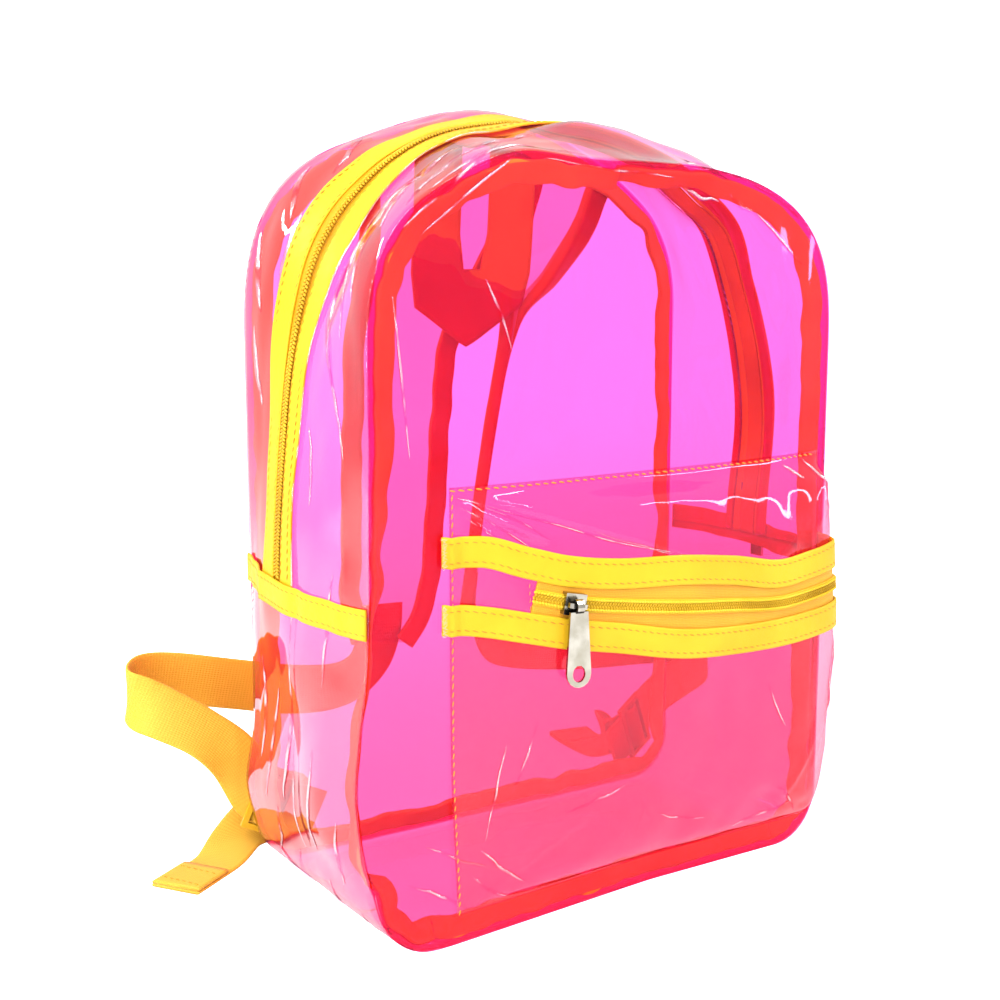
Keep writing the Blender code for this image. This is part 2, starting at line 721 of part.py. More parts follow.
RIGHT_LEAD = (
    (0.258, 0.446, 0.349, 1, 1.5, 0), (0.243, 0.446, 0.292, 1, 1.5, 0),
    (0.300, 0.491, 0.244, 0.5, 0.7, 0.5), (0.450, 0.545, 0.213, 0.2, 0.2, 0.9),
    (0.700, 0.545, 0.191, *UP), (0.967, 0.509, 0.181, *UP), (1.217, 0.438, 0.181, *UP),
    (1.367, 0.357, 0.178, *UP), (1.433, 0.268, 0.168, *UP), (1.375, 0.205, 0.156, *UP),
    (1.250, 0.188, 0.140, *UP), (1.133, 0.170, 0.127, *UP), (1.033, 0.152, 0.111, *UP),
)
RIGHT_TAIL = (
    (0.858, 0.321, 0.036, 0.7, 0.1, 0.6), (0.892, 0.446, 0.017, 0.9, 0, 0.22),
    (0.917, 0.571, 0.004, 1, -0.2, 0), (0.942, 0.714, 0.004, 1, -0.2, 0),
)


def ribbon(name, path, width, thickness, surface, steps):
    # path rows: x, y, z, and the direction of the width as three numbers
    rows = spline(path, steps)
    middle = [Vector(r[:3]) for r in rows]
    grid = []
    for i, row in enumerate(rows):
        tangent = (middle[min(i + 1, len(rows) - 1)] - middle[max(i - 1, 0)]).normalized()
        aside = Vector(row[3:6])
        aside = (aside - tangent * aside.dot(tangent)).normalized()
        half = (row[6] if len(row) > 6 else width) / 2
        grid.append([middle[i] - aside * half, middle[i], middle[i] + aside * half])
    sheet(name, grid, -thickness / 2, thickness / 2, surface)
    return grid


def haul_handle():
    # Flat webbing loop hanging behind the top seam: two arms and a pointed fold
    half, arm = HANDLE_SPREAD / 2, WEBBING_WIDTH / 2
    top = SEAM_HEIGHT - HANDLE_INSET
    low = top - HANDLE_DROP
    stand = back_y(0.0, top) + HANDLE_CLEARANCE

    def place(x, z):
        share = (top - z) / HANDLE_DROP
        return Vector((x, stand + HANDLE_LEAN * share * share, z))

    outside, inside, cut = half + arm, half - arm, arm / 4
    outer = [
        (-outside, top), (-outside, low + arm), (cut - outside, low), (0.0, low - HANDLE_POINT),
        (outside - cut, low), (outside, low + arm), (outside, top),
    ]
    inner = [
        (-inside, top), (-inside, low + 2 * arm), (cut - inside, low + arm), (0.0, low + arm),
        (inside - cut, low + arm), (inside, low + 2 * arm), (inside, top),
    ]
    thick = Vector((0.0, WEBBING, 0.0))
    rings = []
    for far, near in zip(outer, inner):
        far, near = place(*far), place(*near)
        rings.append([far, near, near + thick, far + thick])
    sweep("haul_handle", rings, YELLOW_WEBBING)


def strap_rows(table):
    # First three of a row: shares of half the bag's width, its depth behind the seam, its height
    return [
        (x * BAG_WIDTH / 2, (y + 0.5) * BAG_DEPTH, z * SEAM_HEIGHT, *rest) for x, y, z, *rest in table
    ]


def shoulder_pad(side_name, path):
    # Film strip with folded vinyl down both edges; a row ends with the width's direction and the width
    grid = ribbon("strap_pad_" + side_name, strap_rows(path), PAD_WIDTH, FILM, PINK_FILM, 4)
    inner = FILM / 2 + GAP
    outer = inner + PAD_EDGE_WALL
    profile = (
        (-GAP - PAD_EDGE_WALL, -outer), (PAD_EDGE_WIDTH, -outer), (PAD_EDGE_WIDTH, -inner), (-GAP, -inner),
        (-GAP, inner), (PAD_EDGE_WIDTH, inner), (PAD_EDGE_WIDTH, outer), (-GAP - PAD_EDGE_WALL, outer),
    )
    for edge_name, edge, other in (("a", 0, 2), ("b", 2, 0)):
        rings = []
        for i, row in enumerate(grid):
            tangent = grid[min(i + 1, len(grid) - 1)][1] - grid[max(i - 1, 0)][1]
            inside = (row[other] - row[edge]).normalized()
            normal = tangent.cross(inside).normalized()
            rings.append([row[edge] + inside * p + normal * q for p, q in profile])
        sweep("strap_edge_" + side_name + "_" + edge_name, rings, YELLOW_VINYL)


def adjuster(name, centre, foot):
    # Flat frame with a middle bar, and a tab that is sewn into the bag's corner at its foot
    reach = (foot - centre).length
    frame = frame_on(centre, foot - centre, Vector((0.0, 0.0, -1.0)))
    half_length = ADJUSTER_LENGTH / 2
    half_height = WEBBING_WIDTH / 2 + GAP * 2 + ADJUSTER_BAR
    wall = ADJUSTER_WALL / 2
    body = box(
        name, (-half_length, -half_height, -wall), (half_length, half_height, wall), frame, YELLOW_VINYL,
    )
    tab = box(
        name + "_tab", (half_length - ADJUSTER_BAR / 2, -TAB_WIDTH / 2, -wall * 0.7),
        (reach, TAB_WIDTH / 2, wall * 0.7), frame, YELLOW_VINYL,
    )
    combine(body, tab, "UNION")
    slot_low, slot_high = ADJUSTER_BAR / 2, half_length - ADJUSTER_BAR
    slot_height = half_height - ADJUSTER_BAR
    for sign, label in ((-1, "_slot_a"), (1, "_slot_b")):
        ends = sorted((sign * slot_low, sign * slot_high))
        cutter = box(
            name + label, (ends[0], -slot_height, -2 * wall), (ends[1], slot_height, 2 * wall),
            frame, YELLOW_VINYL,
        )
        combine(body, cutter, "DIFFERENCE")
    return frame


def webbing(side_name, side, lead, tail):
    # From the pad's end round the loop, through the adjuster, and out to the free end on the floor
    x, y, z = ADJUSTER_PLACE
    centre = Vector(strap_rows([(side * x, y, z)])[0])
    foot_x, foot_z = side * (BAG_WIDTH / 2 - TAB_INSET), TAB_RISE
    stand = back_y(foot_x, foot_z + TAB_WIDTH / 2) + TAB_CLEARANCE + ADJUSTER_WALL / 2
    foot = Vector((foot_x, stand, foot_z))
    frame = adjuster("strap_adjuster_" + side_name, centre, foot)
    over = ADJUSTER_WALL / 2 + WEBBING / 2 + WEAVE_CLEARANCE
    slot = (ADJUSTER_LENGTH / 2 - ADJUSTER_BAR / 2) / 2
    upright = (frame(0.0, 1.0, 0.0) - frame(0.0, 0.0, 0.0)) * -side
    near, far = slot - WEAVE_SLOPE, slot + WEAVE_SLOPE
    width = WEBBING_WIDTH
    weave = [
        (-far - 0.08 * width, over), (-far, over * 0.64), (-slot, 0.0), (-near, -over * 0.64),
        (-near / 3, -over), (near / 3, -over), (near, -over * 0.64), (slot, 0.0), (far, over * 0.64),
        (far + 0.08 * width, over), (far + 0.24 * width, over + 0.06 * width),
        (far + 0.32 * width, over + 0.24 * width), (far + 0.2 * width, over + 0.44 * width),
    ]
    rows = strap_rows(lead)
    for along, out in weave:
        point = frame(along, 0.0, -side * out)
        rows.append((*point, *upright))
    rows += strap_rows(tail)
    ribbon("strap_webbing_" + side_name, rows, WEBBING_WIDTH, WEBBING, YELLOW_WEBBING, 2)


def straps():
    shoulder_pad("left", LEFT_PAD)
    shoulder_pad("right", RIGHT_PAD)
    webbing("left", -1, LEFT_LEAD, LEFT_TAIL)
    webbing("right", 1, RIGHT_LEAD, RIGHT_TAIL)


shell()
main_zip()
side_band("side_band_left", -1)
side_band("side_band_right", 1)
pocket()
slider_solid("pocket_zip_slider", pocket_slider_frame(False), POCKET_COIL_WIDTH)
pull_solid("pocket_zip_pull", pocket_slider_frame(True))
main_slider()
haul_handle()
straps()
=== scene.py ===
import math

import bmesh
import bpy
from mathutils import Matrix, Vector, noise


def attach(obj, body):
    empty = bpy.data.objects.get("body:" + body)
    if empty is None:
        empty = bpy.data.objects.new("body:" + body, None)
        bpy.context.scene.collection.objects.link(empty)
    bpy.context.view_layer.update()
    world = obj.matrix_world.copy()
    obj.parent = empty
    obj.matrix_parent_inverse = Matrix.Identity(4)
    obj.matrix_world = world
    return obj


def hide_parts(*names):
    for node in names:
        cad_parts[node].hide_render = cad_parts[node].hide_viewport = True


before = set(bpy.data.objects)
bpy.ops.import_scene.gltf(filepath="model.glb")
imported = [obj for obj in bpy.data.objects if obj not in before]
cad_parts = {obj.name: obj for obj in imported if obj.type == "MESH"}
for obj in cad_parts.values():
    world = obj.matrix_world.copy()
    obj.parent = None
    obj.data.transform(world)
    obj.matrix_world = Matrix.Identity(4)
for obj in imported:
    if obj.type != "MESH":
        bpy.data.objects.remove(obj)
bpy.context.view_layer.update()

scene = bpy.context.scene
mm = 0.001  # every size below is in millimetres

# the camera first: the photo's own angle and lens
cameraSettings = {"place": (-400.2, -575.6, 281.6), "aim": (-23.6, 0.0, 169.0), "lens": 56.3, "sensor": 36.0}


def makeCamera(settings):
    data = bpy.data.cameras.new("photoCamera")
    data.lens = settings["lens"]
    data.sensor_width = settings["sensor"]
    data.clip_start = 0.01
    camera = bpy.data.objects.new("photoCamera", data)
    scene.collection.objects.link(camera)
    place, aim = Vector(settings["place"]) * mm, Vector(settings["aim"]) * mm
    camera.location = place
    camera.rotation_euler = (aim - place).to_track_quat("-Z", "Y").to_euler()
    scene.camera = camera


makeCamera(cameraSettings)
scene.view_settings.view_transform = "Standard"
scene.cycles.transparent_max_bounces = 48
scene.cycles.max_bounces = 1
scene.cycles.glossy_bounces = 1
scene.cycles.diffuse_bounces = 1
print("camera ready")


# shader nodes: expressions on sockets add their own Math nodes
class Wire:
    def __init__(self, maker, socket):
        self.maker, self.socket = maker, socket

    def sum(self, operation, first, second):
        return self.maker.add("ShaderNodeMath", {"operation": operation}, {0: first, 1: second})[0]

    def __add__(self, other):
        return self.sum("ADD", self, other)

    def __sub__(self, other):
        return self.sum("SUBTRACT", self, other)

    def __rsub__(self, other):
        return self.sum("SUBTRACT", other, self)

    def __mul__(self, other):
        return self.sum("MULTIPLY", self, other)

    def __pow__(self, other):
        return self.sum("POWER", self, other)

    __radd__, __rmul__ = __add__, __mul__

    def step(self, low, high):
        return self.maker.add(
            "ShaderNodeMapRange", {"interpolation_type": "SMOOTHSTEP"}, {0: self, 1: low, 2: high, 3: 0.0, 4: 1.0},
        )[0]


class Finish:
    def __init__(self, name):
        self.material = bpy.data.materials.new(name)
        self.material.use_nodes = True
        self.tree = self.material.node_tree
        self.tree.nodes.clear()
        self.out = self.tree.nodes.new("ShaderNodeOutputMaterial")

    def add(self, kind, settings=None, sockets=None):
        node = self.tree.nodes.new(kind)
        for key, value in (settings or {}).items():
            setattr(node, key, value)
        for key, value in (sockets or {}).items():
            if isinstance(value, Wire):
                self.tree.links.new(value.socket, node.inputs[key])
            else:
                node.inputs[key].default_value = value
        return [Wire(self, output) for output in node.outputs]

    def place(self, scale=(1, 1, 1), source="Object"):
        where = self.add("ShaderNodeTexCoord")[{"Object": 3, "UV": 2}[source]]
        return self.add("ShaderNodeMapping", None, {"Vector": where, "Scale": scale})[0]

    def cloud(self, where, scale, detail=3.0, rough=0.5):
        return self.add(
            "ShaderNodeTexNoise", None, {"Vector": where, "Scale": scale, "Detail": detail, "Roughness": rough},
        )[0]

    def mixColour(self, share, first, second):
        return self.add("ShaderNodeMix", {"data_type": "RGBA"}, {0: share, 6: first, 7: second})[2]

    def bump(self, height, strength, distance):
        return self.add("ShaderNodeBump", None, {"Height": height, "Strength": strength, "Distance": distance})[0]

    def body(self, sockets):
        return self.add("ShaderNodeBsdfPrincipled", None, sockets)[0]

    def clear(self, tint):
        return self.add("ShaderNodeBsdfTransparent", None, {"Color": tint})[0]

    def mixShader(self, share, first, second):
        return self.add("ShaderNodeMixShader", None, {0: share, 1: first, 2: second})[0]

    def end(self, shader):
        self.tree.links.new(shader.socket, self.out.inputs["Surface"])
        return self.material


# clear film: its colour deepens with each layer, and towards the floor, where a deeper tint and more warm haze are a
# painted reflection of the yellow parts' light; heights are in metres
filmLook = {
    "tint": (1.0, 0.545, 0.80, 1.0), "lowReflectTint": (1.0, 0.51, 0.69, 1.0), "padTint": (1.0, 0.80, 0.80, 1.0),
    "pocketTint": (1.0, 0.68, 0.80, 1.0), "pocketLowReflect": (1.0, 0.70, 0.76, 1.0), "lowReflectTintHeights": (0.06, 0.22),
    "haze": (1.0, 0.13, 0.22, 1.0), "hazeRough": 0.6, "hazeShare": 0.04, "lowReflectHaze": 0.06, "lowReflectHazeHeights": (0.03, 0.13),
    "shine": (1.0, 0.98, 0.99, 1.0), "gloss": 0.05, "mirror": 0.04, "edge": 0.95, "edgePower": 4.0,
    "rippleStretch": (1.0, 1.0, 0.6), "rippleScale": 26.0, "rippleRough": 0.4, "rippleHeight": 0.004,
}


def heightIn(f):
    return f.add("ShaderNodeSeparateXYZ", None, {0: f.add("ShaderNodeTexCoord")[3]})[2]


def tintShader(f, height, tint, lowReflectTint):
    # painted reflection: the deeper tint below the given heights
    return f.mixShader(height.step(*filmLook["lowReflectTintHeights"]), f.clear(lowReflectTint), f.clear(tint))


def filmFinish(name, tint, lowReflectTint, ripple, hazeShare=filmLook["hazeShare"], mirrorShare=filmLook["mirror"]):
    # a ripple of nought leaves the skin to its modelled waves
    f, look = Finish(name), filmLook
    glossSockets = {"Base Color": look["shine"], "Metallic": 1.0, "Roughness": look["gloss"]}
    facingSockets = {"Blend": 0.5}
    if ripple:
        cloud = f.cloud(f.place(look["rippleStretch"]), look["rippleScale"], 0.0, look["rippleRough"])
        glossSockets["Normal"] = facingSockets["Normal"] = f.bump(cloud, ripple, look["rippleHeight"])
    gloss = f.body(glossSockets)
    haze = f.body({"Base Color": look["haze"], "Roughness": look["hazeRough"]})
    height = heightIn(f)
    # milky film body, plus a painted reflection: more warm haze towards the floor
    hazeAndLowReflect = (1 - height.step(*look["lowReflectHazeHeights"])) * look["lowReflectHaze"] + hazeShare
    facing = f.add("ShaderNodeLayerWeight", None, facingSockets)[1]
    mirror = facing ** look["edgePower"] * look["edge"] + mirrorShare
    return f.end(f.mixShader(mirror, f.mixShader(hazeAndLowReflect, tintShader(f, height, tint, lowReflectTint), haze), gloss))


def innerFinish(name, tint, lowReflectTint):
    # the second face of a skin only tints; the first one carries the gloss and haze of both
    f = Finish(name)
    return f.end(tintShader(f, heightIn(f), tint, lowReflectTint))


# a sharp fold of the film: mostly clear, and it gathers the lamps' light in patches
creaseLook = {
    "patchScale": 95.0, "patchRange": (0.38, 0.62), "share": 0.45, "shine": (1.0, 0.99, 1.0, 1.0), "rough": 0.22,
    "tint": (1.0, 0.86, 0.93, 1.0),
}


def creaseFinish():
    f = Finish("filmCrease")
    patches = f.cloud(f.place(), creaseLook["patchScale"], 1.0)
    gloss = f.body({"Base Color": creaseLook["shine"], "Metallic": 1.0, "Roughness": creaseLook["rough"]})
    share = patches.step(*creaseLook["patchRange"]) * creaseLook["share"]
    return f.end(f.mixShader(share, f.clear(creaseLook["tint"]), gloss))


vinylLook = {
    "toneScale": 30.0, "toneRange": (0.3, 0.7), "softScale": 260.0, "pebbleShare": 0.5, "bump": 0.28,
    "bumpHeight": 0.0006, "rough": 0.34, "roughSpread": 0.2, "shine": 0.28,
}


def vinylFinish(name, deep, light, grain=900.0):
    f, look = Finish(name), vinylLook
    where = f.place()
    tone = f.cloud(where, look["toneScale"])
    pebble = f.add("ShaderNodeTexVoronoi", {"feature": "DISTANCE_TO_EDGE"}, {"Vector": where, "Scale": grain})[0]
    soft = f.cloud(where, look["softScale"])
    return f.end(f.body({
        "Base Color": f.mixColour(tone.step(*look["toneRange"]), deep, light),
        "Roughness": soft * look["roughSpread"] + look["rough"], "Specular IOR Level": look["shine"],
        "Normal": f.bump(pebble * look["pebbleShare"] + soft, look["bump"], look["bumpHeight"]),
    }))


wovenLook = {
    "warpTwist": 0.2, "weftTwist": 0.3, "fuzzScale": 1500.0, "toneScale": 24.0, "shadeRange": (0.25, 0.8),
    "bump": 0.3, "bumpHeight": 0.0004, "rough": 0.5, "roughSpread": 0.15, "sheen": 0.05,
}


def wovenFinish(name, deep, light, rib, cross):
    f, look = Finish(name), wovenLook
    where = f.place(source="UV")
    warp, weft = (
        f.add("ShaderNodeTexWave", {"bands_direction": way}, {"Vector": where, "Scale": scale, "Distortion": twist})[1]
        for way, scale, twist in (("Y", rib, look["warpTwist"]), ("X", cross, look["weftTwist"]))
    )
    fuzz = f.cloud(f.place(), look["fuzzScale"], 2.0)
    shade = f.cloud(f.place(), look["toneScale"]) * 0.6 + warp * 0.2 + weft * 0.2
    return f.end(f.body({
        "Base Color": f.mixColour(shade.step(*look["shadeRange"]), deep, light),
        "Roughness": fuzz * look["roughSpread"] + look["rough"], "Sheen Weight": look["sheen"],
        "Normal": f.bump(warp * 0.6 + weft * 0.5 + fuzz * 0.4, look["bump"], look["bumpHeight"]),
    }))


nickelLook = {
    "brushStretch": (1.0, 1.0, 0.08), "brushScale": 2600.0, "wearScale": 120.0, "wearRange": (0.35, 0.75),
    "worn": (0.42, 0.39, 0.32, 1.0), "bright": (0.62, 0.59, 0.52, 1.0), "rough": 0.12, "wornRough": 0.10,
    "brushRough": 0.06, "bump": 0.12, "bumpHeight": 0.0002,
}


def nickelFinish():
    f, look = Finish("nickelPlate"), nickelLook
    brushed = f.cloud(f.place(look["brushStretch"]), look["brushScale"], 2.0)
    wear = f.cloud(f.place(), look["wearScale"])
    return f.end(f.body({
        "Base Color": f.mixColour(wear.step(*look["wearRange"]), look["worn"], look["bright"]), "Metallic": 1.0,
        "Roughness": wear * look["wornRough"] + brushed * look["brushRough"] + look["rough"],
        "Normal": f.bump(brushed, look["bump"], look["bumpHeight"]),
    }))


threadLook = {"twistScale": 3000.0, "shade": 0.8, "rough": 0.55, "bump": 0.2, "bumpHeight": 0.0002}


def threadFinish(name, colour):
    f, look = Finish(name), threadLook
    twist = f.cloud(f.place(), look["twistScale"], 2.0)
    return f.end(f.body({
        "Base Color": f.mixColour(twist, colour, [c * look["shade"] for c in colour[:3]] + [1.0]),
        "Roughness": look["rough"], "Normal": f.bump(twist, look["bump"], look["bumpHeight"]),
    }))


finishes = {
    "film": filmFinish("clearFilm", filmLook["tint"], filmLook["lowReflectTint"], 0.0),
    "sideFilm": filmFinish("sideFilm", filmLook["tint"], filmLook["lowReflectTint"], 0.45, 0.06, 0.09),
    "pocketFilm": filmFinish("pocketFilm", filmLook["pocketTint"], filmLook["pocketLowReflect"], 0.30, 0.09, 0.06),
    "padFilm": filmFinish("padFilm", filmLook["padTint"], filmLook["padTint"], 0.0, 0.01, 0.02),
    "filmInner": innerFinish("filmInner", filmLook["tint"], filmLook["lowReflectTint"]),
    "pocketInner": innerFinish("pocketInner", filmLook["pocketTint"], filmLook["pocketLowReflect"]),
    "crease": creaseFinish(),
    "vinyl": vinylFinish("yellowVinyl", (0.74, 0.40, 0.008, 1.0), (0.82, 0.47, 0.014, 1.0)),
    "binding": vinylFinish("bindingVinyl", (0.76, 0.36, 0.02, 1.0), (0.86, 0.46, 0.03, 1.0)),
    "tape": wovenFinish("zipTape", (0.80, 0.30, 0.006, 1.0), (0.90, 0.42, 0.012, 1.0), 420.0, 420.0),
    "webbing": wovenFinish("strapWebbing", (0.80, 0.40, 0.02, 1.0), (0.88, 0.48, 0.04, 1.0), 300.0, 210.0),
    # the coil's mustard yellow, darkened further as painted shade between the teeth
    "coil": vinylFinish("zipCoilShaded", (0.50, 0.27, 0.005, 1.0), (0.72, 0.42, 0.015, 1.0), 2000.0),
    "cord": vinylFinish("zipCord", (0.78, 0.46, 0.008, 1.0), (0.88, 0.56, 0.03, 1.0), 2000.0),
    # painted shade: a darker copy of the tape's orange for the shaded groove under the coil
    "groove": vinylFinish("zipGrooveShade", (0.62, 0.24, 0.004, 1.0), (0.75, 0.34, 0.008, 1.0), 2000.0),
    "thread": threadFinish("yellowThread", (0.74, 0.29, 0.006, 1.0)),
    "fray": threadFinish("frayedEdge", (1.0, 0.62, 0.42, 1.0)),
    "orangeThread": threadFinish("orangeThread", (0.95, 0.28, 0.02, 1.0)),
    "nickel": nickelFinish(),
}
print("finishes ready")


def ramp(value, start, end):
    return min(max((value - start) / (end - start), 0.0), 1.0)


def smooth(value):
    value = min(max(value, 0.0), 1.0)
    return value * value * (3 - 2 * value)


def climb(value, start, end):
    return smooth((value - start) / (end - start))


def bell(value, centre, spread, power=2):
    return math.exp(-((value - centre) / spread) ** power)


def wave(point, size, amount, seed=0.0):
    return noise.noise(point / size + Vector((seed, seed * 1.7, -seed))) * amount


# how the standing bag has settled: its back arch stands taller than the front one, its front foot slides
# forward and its lower left back corner swells; pairs are where a move starts and where it is whole
settled = {
    "spring": 235.0, "stretch": 0.35, "halfDepth": 56.0, "mostBack": 1.05,
    "leftHold": (75.0, 0.37), "rightHold": (110.0, 0.8),
    "frontLift": 5.0, "frontLiftX": -52.0, "frontLiftWidth": 26.0, "frontLiftHeights": (270.0, 310.0),
    "footTop": 120.0, "footRight": 20.0, "footForward": 9.0, "footReach": 42.0, "footDepths": (-28.0, -56.0),
    "footSides": (20.0, -90.0), "swell": 4.5, "swellHeight": 42.0, "swellReach": 17.0,
    "swellDepths": (12.0, 48.0), "swellSides": (-92.0, -118.0), "swellBack": 60.0,
}


def settle(p):
    if p.z < settled["footTop"] and p.x < settled["footRight"]:
        ahead = bell(p.z, 0, settled["footReach"]) * ramp(p.y, *settled["footDepths"])
        ahead *= ramp(p.x, *settled["footSides"])
        swell = bell(p.z, settled["swellHeight"], settled["swellReach"]) * ramp(p.y, *settled["swellDepths"])
        swell *= ramp(p.x, *settled["swellSides"]) * (p.y < settled["swellBack"])
        return Vector((p.x - swell * settled["swell"], p.y - ahead * settled["footForward"], p.z))
    if p.z <= settled["spring"]:
        return p
    back = min(max((p.y + settled["halfDepth"]) / (2 * settled["halfDepth"]), 0.0), settled["mostBack"])
    reach, hold = settled["leftHold" if p.x < 0 else "rightHold"]
    lift = (p.z - settled["spring"]) * settled["stretch"] * (1 - hold * smooth(abs(p.x) / reach)) * back
    near = bell(p.x, settled["frontLiftX"], settled["frontLiftWidth"]) * ramp(p.z, *settled["frontLiftHeights"])
    return Vector((p.x, p.y, p.z + lift + settled["frontLift"] * near * max(1 - back * 1.5, 0.0)))


shadowless = ("crease", "padFilm", "pocketFilm")  # they dim hardly any light


# meshes from rows of points, in millimetres
def meshPiece(name, points, faces, finish, slot, node=(), uvs=None):
    mesh = bpy.data.meshes.new(name)
    mesh.from_pydata([tuple(settle(p) * mm) for p in points], [], faces)
    if uvs:
        layer = mesh.uv_layers.new(name="UVMap")
        for loop in mesh.loops:
            layer.data[loop.index].uv = uvs[loop.vertex_index]
    work = bmesh.new()
    work.from_mesh(mesh)
    bmesh.ops.recalc_face_normals(work, faces=work.faces)
    work.to_mesh(mesh)
    work.free()
    mesh.shade_smooth()
    mesh.materials.append(finishes[finish])
    piece = bpy.data.objects.new(name, mesh)
    scene.collection.objects.link(piece)
    piece.visible_shadow = finish not in shadowless
    place(piece, slot, node)
    return piece


def place(piece, slot, node):
    if node:
        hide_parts(*node)
    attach(piece, "bag")


innerOf = {"film": "filmInner", "sideFilm": "filmInner", "pocketFilm": "pocketInner"}


def sheetPiece(name, grid, thickness, finish, slot, node, closed=False, pole=None, inside=1):
    # a film or cloth skin with two faces and closed edges; rows run one way, columns the other
    rows, columns = len(grid), len(grid[0])
    normals = []
    for i in range(rows):
        line = []
        for j in range(columns):
            along = grid[min(i + 1, rows - 1)][j] - grid[max(i - 1, 0)][j]
            if closed:
                aside = grid[i][(j + 1) % columns] - grid[i][j - 1]
            else:
                aside = grid[i][min(j + 1, columns - 1)] - grid[i][max(j - 1, 0)]
            line.append(along.cross(aside).normalized())
        normals.append(line)
    points = [p for row in grid for p in row]
    points += [p + n * thickness * inside for row, line in zip(grid, normals) for p, n in zip(row, line)]
    size = rows * columns
    faces = []
    last = columns if closed else columns - 1
    for layer in (0, size):
        for i in range(rows - 1):
            for j in range(last):
                a, b = layer + i * columns + j, layer + i * columns + (j + 1) % columns
                faces.append((a, b, b + columns, a + columns))
    rim = [i for i in (0, rows - 1) if not (pole and i == 0)]
    for i in rim:
        for j in range(last):
            a, b = i * columns + j, i * columns + (j + 1) % columns
            faces.append((a, b, b + size, a + size))
    if not closed:
        for j in (0, columns - 1):
            for i in range(rows - 1):
                a, b = i * columns + j, (i + 1) * columns + j
                faces.append((a, b, b + size, a + size))
    if pole:
        middle = len(points)
        points += [pole, pole + normals[0][0] * thickness * inside]
        for layer, centre in ((0, middle), (size, middle + 1)):
            faces += [(layer + j, layer + (j + 1) % columns, centre) for j in range(columns)]
    piece = meshPiece(name, points, faces, finish, slot, node)
    if finish in innerOf:
        piece.data.materials.append(finishes[innerOf[finish]])
        skin = (rows - 1) * last
        inner = piece.data.polygons[skin:2 * skin]
        if pole:
            inner += piece.data.polygons[-columns:]
        for polygon in inner:
            polygon.material_index = 1


def stepAt(path, i):
    return path[min(i + 1, len(path) - 1)] - path[max(i - 1, 0)]


def stripPiece(name, middles, asides, width, thickness, finish, slot, node=(), closed=False):
    # a flat band with rounded edges swept along a path; its UV runs in metres along and across
    shape = [(-1, 0.0), (-0.96, 0.8), (-0.85, 1.0), (-0.45, 1.0), (0.0, 1.0), (0.45, 1.0), (0.85, 1.0), (0.96, 0.8)]
    shape += [(-a, -h) for a, h in shape]
    count = len(middles)
    points, uvs, run = [], [], 0.0
    for i in range(count):
        tangent = middles[(i + 1) % count] - middles[i - 1] if closed else stepAt(middles, i)
        tangent.normalize()
        aside = (asides[i] - tangent * asides[i].dot(tangent)).normalized()
        out = tangent.cross(aside)
        if i:
            run += (middles[i] - middles[i - 1]).length
        half = (width[i] if hasattr(width, "__len__") else width) / 2
        for a, h in shape:
            points.append(middles[i] + aside * a * half + out * h * thickness / 2)
            uvs.append((run * mm, a * half * mm))
    size = len(shape)
    faces = []
    for i in range(count if closed else count - 1):
        a, b = i * size, (i + 1) % count * size
        faces += [(a + k, a + (k + 1) % size, b + (k + 1) % size, b + k) for k in range(size)]
    if not closed:
        faces += [tuple(range(size)), tuple(range((count - 1) * size, count * size))]
    meshPiece(name, points, faces, finish, slot, node, uvs)


def curveThrough(table, at, column):
    # smooth reading of a table between its rows
    last = len(table) - 1
    for k in range(last):
        if at <= table[k + 1][0] or k == last - 1:
            break
    p = [table[min(max(k + d, 0), last)] for d in (-1, 0, 1, 2)]
    span = p[2][0] - p[1][0]
    t = min(max((at - p[1][0]) / span, 0.0), 1.0)
    slopes = []
    for a, b, c in ((p[0], p[1], p[2]), (p[1], p[2], p[3])):
        wide = c[0] - a[0]
        slopes.append((c[column] - a[column]) / wide * span if wide else 0.0)
        if (b[column] - a[column]) * (c[column] - b[column]) <= 0 and wide:
            slopes[-1] = 0.0
    t2, t3 = t * t, t * t * t
    return (
        (2 * t3 - 3 * t2 + 1) * p[1][column] + (t3 - 2 * t2 + t) * slopes[0]
        + (3 * t2 - 2 * t3) * p[2][column] + (t3 - t2) * slopes[1]
    )


def splineRows(rows, steps):
    result = []
    last = len(rows) - 1
    for i in range(last):
        p = [rows[max(i - 1, 0)], rows[i], rows[i + 1], rows[min(i + 2, last)]]
        for s in range(steps):
            t = s / steps
            w = (
                -0.5 * t + t * t - 0.5 * t ** 3, 1 - 2.5 * t * t + 1.5 * t ** 3,
                0.5 * t + 2 * t * t - 1.5 * t ** 3, -0.5 * t * t + 0.5 * t ** 3,
            )
            result.append([sum(a * q[k] for a, q in zip(w, p)) for k in range(len(rows[0]))])
    result.append(list(rows[-1]))
    return result


